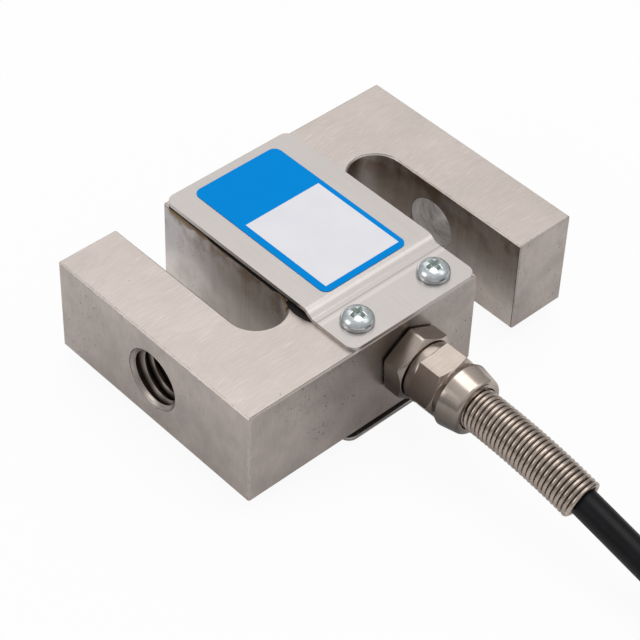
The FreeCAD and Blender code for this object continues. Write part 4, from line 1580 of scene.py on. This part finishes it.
@dataclass
class CableRun:
    """The free cable: out of the spring, down to the surface, and round its put-away coil."""

    exit: Vector
    with_pieces: Sequence[str]
    radius: float = 2.7 * MM
    coil_centre: tuple[float, float] = (35 * MM, -119 * MM)
    coil_radii: Triple = (36.5 * MM, 31.0 * MM, 25.5 * MM)
    layer_heights: Triple = (3.55 * MM, 9.05 * MM, 14.55 * MM)
    tail_height: float = 20.4 * MM
    coil_step_deg: float = 20.0
    change_deg: int = 60
    length: float = 1.66
    # The part of the route given point by point, from the nut to the coil, in millimetres.
    laid_mm: tuple[Triple, ...] = (
        (-1.7, -48.3, 14.25),
        (-1.7, -60.4, 12.94),
        (-1.7, -73.5, 10.06),
        (-1.65, -84.5, 7.5),
        (-1.6, -93.5, 5.3),
        (-1.52, -101.0, 4.0),
        (-1.5, -106.0, 3.55),
    )

    def coil_stations(self) -> list[Triple]:
        """Angle, radius and height wherever a change of row or layer begins or ends.

        Each change starts earlier round the coil than the one before, so that the cable never
        crosses through its own earlier turn. The tail lies on the last turn.

        Returns:
            The stations, in order.
        """
        outer, mid, inner = self.coil_radii
        low, middle, high = self.layer_heights
        changes = (
            (455, mid, low),
            (815, inner, low),
            (1115, inner, middle),
            (1415, mid, middle),
            (1775, outer, middle),
            (2075, outer, high),
            (2375, mid, high),
            (2735, inner, high),
        )
        stations = [(180, outer, low)]
        for start, radius, height in changes:
            stations.append((start, *stations[-1][1:]))
            stations.append((start + self.change_deg, radius, height))
        return stations + [
            (2945, inner, high),
            (2980, inner + 1.0 * MM, high + 3.2 * MM),
            (3005, mid - 2.6 * MM, self.tail_height - 1.1 * MM),
            (3035, mid - 0.6 * MM, self.tail_height),
            (3075, mid, self.tail_height),
        ]

    def coil(self) -> list[Vector]:
        """The turns, wound layer on layer, and the tail.

        Returns:
            The route's points from the coil's entry to the jacket's end.
        """
        stations = self.coil_stations()
        # A spline cuts inside its points, so they lie a little further out.
        grown = 1 / (0.75 + 0.25 * math.cos(math.radians(self.coil_step_deg)))
        near_enough = 0.01
        points = []
        angle = float(stations[0][0])
        while angle < stations[-1][0] + near_enough:
            following = next(i for i, s in enumerate(stations) if s[0] >= angle - near_enough)
            end = stations[following]
            begin = stations[max(following - 1, 0)]
            span = max(end[0] - begin[0], 1)
            share = (angle - begin[0]) / span if following else 1.0
            share = share * share * (3 - 2 * share)
            radius = (begin[1] + (end[1] - begin[1]) * share) * grown
            turn = math.radians(angle)
            x = self.coil_centre[0] + radius * math.cos(turn)
            y = self.coil_centre[1] + radius * math.sin(turn)
            points.append(Vector((x, y, begin[2] + (end[2] - begin[2]) * share)))
            angle += self.coil_step_deg
        return points

    def build(self) -> bpy.types.Object:
        """Returns:
            The cable.
        """
        laid = [Vector(point) * MM for point in self.laid_mm]
        points = [self.exit, *laid, *self.coil()]
        curve = laid_curve("free_cable", "NURBS", points)
        curve.resolution_u = 6
        curve.bevel_depth = self.radius
        curve.bevel_resolution = 6
        curve.use_fill_caps = True
        curve.splines[0].order_u = 3
        curve.splines[0].use_endpoint_u = True
        cable = loose_object("free_cable", curve)
        curve.materials.append(CABLE_PVC.material())
        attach(cable, ROOT)
        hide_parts("cable", "cable_coil")
        log.info("free_cable: %d points, slot cable_jacket", len(points))
        return cable


# ---------------------------------------------------------------- studio


def white_share(add: AddNode, to_eye: float, to_gloss: float) -> bpy.types.Node:
    """How much plain white a ray finds round the object.

    Args:
        add: Adds a node to the tree.
        to_eye: The share for a ray from the camera, also through a clear piece.
        to_gloss: The share for a reflection.

    Returns:
        The share, and 0 for a ray that only lights the object.
    """
    ray = add("ShaderNodeLightPath").outputs
    straight = {0: ray["Is Camera Ray"], 1: ray["Is Transmission Ray"]}
    straight = add("ShaderNodeMath", straight, operation="MAXIMUM")
    seen = add("ShaderNodeMath", {0: straight, 1: to_eye}, operation="MULTIPLY")
    mirrored = {0: ray["Is Glossy Ray"], 1: to_gloss}
    mirrored = add("ShaderNodeMath", mirrored, operation="MULTIPLY")
    return add("ShaderNodeMath", {0: seen, 1: mirrored}, operation="MAXIMUM")


@dataclass(frozen=True)
class PaleFloor(Finish):
    """Matt white board: plain white to the camera, but for the object's soft shadow."""

    name: str = "pale_floor"
    tone: str = "F2F2F2"
    glow: float = 0.93  # how much of it is plain white to the camera
    mirror: float = 0.04  # and to a reflection

    def surface(self, add: AddNode) -> bpy.types.Node:
        """The floor's shader.

        Args:
            add: Adds a node to the material.

        Returns:
            The shader.
        """
        matt = add("ShaderNodeBsdfDiffuse", {"Color": linear(self.tone)})
        white = add("ShaderNodeEmission", {"Color": (1, 1, 1, 1), "Strength": 1.0})
        share = white_share(add, self.glow, self.mirror)
        return add("ShaderNodeMixShader", {0: share, 1: matt, 2: white})


@dataclass
class Lamp:
    """One soft square lamp, aimed at the cell."""

    name: str
    place: Triple
    size: float
    watts: float
    aim: Triple = (0.0, 0.0, 0.01)

    def build(self) -> None:
        """Hangs the lamp."""
        data = bpy.data.lights.new(self.name, "AREA")
        data.shape = "SQUARE"
        data.size = self.size
        data.energy = self.watts
        lamp = loose_object(self.name, data)
        lamp.location = self.place
        down = Vector(self.aim) - Vector(self.place)
        lamp.rotation_euler = down.to_track_quat("-Z", "Y").to_euler()


@dataclass
class Studio:
    """Floor, soft light, white surroundings and the camera."""

    eye: Triple = (-204.01 * MM, -211.58 * MM, 287.59 * MM)
    target: Triple = (-6.487 * MM, -7.912 * MM, 13.2 * MM)
    roll_deg: float = 2.203
    lens: float = 126.955
    sensor: float = 36.0
    nearest: float = 10 * MM
    floor_size: float = 3.0
    horizon_level: float = 0.26
    zenith_level: float = 0.7
    world_mirror: float = 0.15  # how much of the white surroundings gloss picks up
    lamps: tuple[Lamp, ...] = (
        Lamp("top_softbox", (0.1, 0.0, 0.62), 0.42, 1.0),
        Lamp("back_softbox", (0.27, 0.42, 0.5), 0.5, 0.46),
        Lamp("left_softbox", (-0.5, 0.22, 0.34), 0.3, 0.55),
        Lamp("fill_softbox", (0.3, -0.36, 0.52), 0.35, 0.3),
    )

    def build(self) -> None:
        """Sets up everything round the object."""
        self.build_floor()
        self.build_world()
        for lamp in self.lamps:
            lamp.build()
        self.build_camera()
        bpy.context.scene.view_settings.view_transform = "Standard"

    def build_floor(self) -> None:
        """Lays the pale floor, which keeps the object's shadow."""
        shape = bmesh.new()
        bmesh.ops.create_grid(shape, x_segments=1, y_segments=1, size=self.floor_size / 2)
        mesh = to_mesh(shape)
        mesh.materials.append(PaleFloor().material())
        loose_object("floor", mesh)

    def build_world(self) -> None:
        """Lights from all round at a low level, and shows white to the camera and to gloss."""
        world = bpy.data.worlds.new("white_surroundings")
        bpy.context.scene.world = world
        world.use_nodes = True
        world.node_tree.nodes.clear()
        add = partial(add_node, world.node_tree)
        share = white_share(add, 1.0, self.world_mirror)
        direction = add("ShaderNodeTexCoord").outputs["Generated"]
        height = add("ShaderNodeSeparateXYZ", {0: direction}).outputs["Z"]
        levels = {0: height, 3: self.horizon_level, 4: self.zenith_level}
        sky = add("ShaderNodeMapRange", levels)
        level = add("ShaderNodeMix", {"Factor": share, "A": sky, "B": 1.0})
        glow = add("ShaderNodeBackground", {"Color": (1, 1, 1, 1), "Strength": level})
        add("ShaderNodeOutputWorld", {"Surface": glow})

    def build_camera(self) -> None:
        """Places the camera, with its slight roll."""
        eye, target = Vector(self.eye), Vector(self.target)
        forward = (target - eye).normalized()
        right = forward.cross(Vector((0, 0, 1))).normalized()
        up = right.cross(forward)
        roll = math.radians(self.roll_deg)
        turned_right = right * math.cos(roll) + up * math.sin(roll)
        turned_up = up * math.cos(roll) - right * math.sin(roll)
        data = bpy.data.cameras.new("camera")
        data.lens = self.lens
        data.sensor_width = self.sensor
        data.clip_start = self.nearest
        camera = loose_object("camera", data)
        axes = Matrix((turned_right, turned_up, -forward)).transposed()
        camera.matrix_world = Matrix.Translation(eye) @ axes.to_4x4()
        bpy.context.scene.camera = camera


# ---------------------------------------------------------------- the whole cell

LEADS = tuple(f"lead_{colour}" for colour in LEAD_FINISHES)
COIL_TIES = ("coil_tie_1", "coil_tie_2")
CORD_PIECES = (
    *("gland_seal", "clamp_bush", "thrust_washer", "cable_entry", *COIL_TIES, "end_sleeve"),
    *LEADS,
    *("shield_wire", "lead_tips"),
)
SIMPLE_FINISHES: tuple[tuple[Finish, Sequence[str]], ...] = (
    (SEAL_RUBBER, ("top_seal", "bottom_seal", "gland_seal", "clamp_bush", "end_sleeve")),
    (GLAND_BRASS, ("thrust_washer",)),
    (GAUGE_FOIL, ("shear_gauge_top", "shear_gauge_bottom")),
    (SILICONE_CLEAR, ("gauge_coating_top", "gauge_coating_bottom")),
    (CIRCUIT_GREEN, ("terminal_board",)),
    (RESISTOR_BEIGE, ("trim_resistor_1", "trim_resistor_2")),
    (TINNED_COPPER, ("upper_gauge_jumpers", "lower_gauge_wires", "lead_tips", "shield_wire")),
    (CABLE_PVC, ("cable_entry",)),
    (TIE_NYLON, COIL_TIES),
    *(
        (finish, (lead, f"inner_core_{number}"))
        for number, (lead, finish) in enumerate(zip(LEADS, LEAD_FINISHES.values()), 1)
    ),
)


def main() -> None:
    """Builds the looks round the frame."""
    logging.basicConfig(level=logging.INFO, format="%(name)s: %(message)s")
    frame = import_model()
    nodes = frame["nodes"]
    for finish, names in SIMPLE_FINISHES:
        for name in names:
            dress(nodes[name], finish)
    SteelBody(nodes).build()
    SealingGlue().build()
    Covers(nodes).build()
    Label(nodes).build()
    gland = Gland(nodes).build()
    spring = StrainReliefSpring(start=Vector((GLAND_X, SPRING_START_Y, GLAND_Z))).build()
    CableRun(
        exit=Vector((GLAND_X, CABLE_EXIT_Y, GLAND_Z)),
        with_pieces=(*CORD_PIECES, *gland, spring.name),
    ).build()
    Studio().build()


if __name__ == "__main__":
    main()
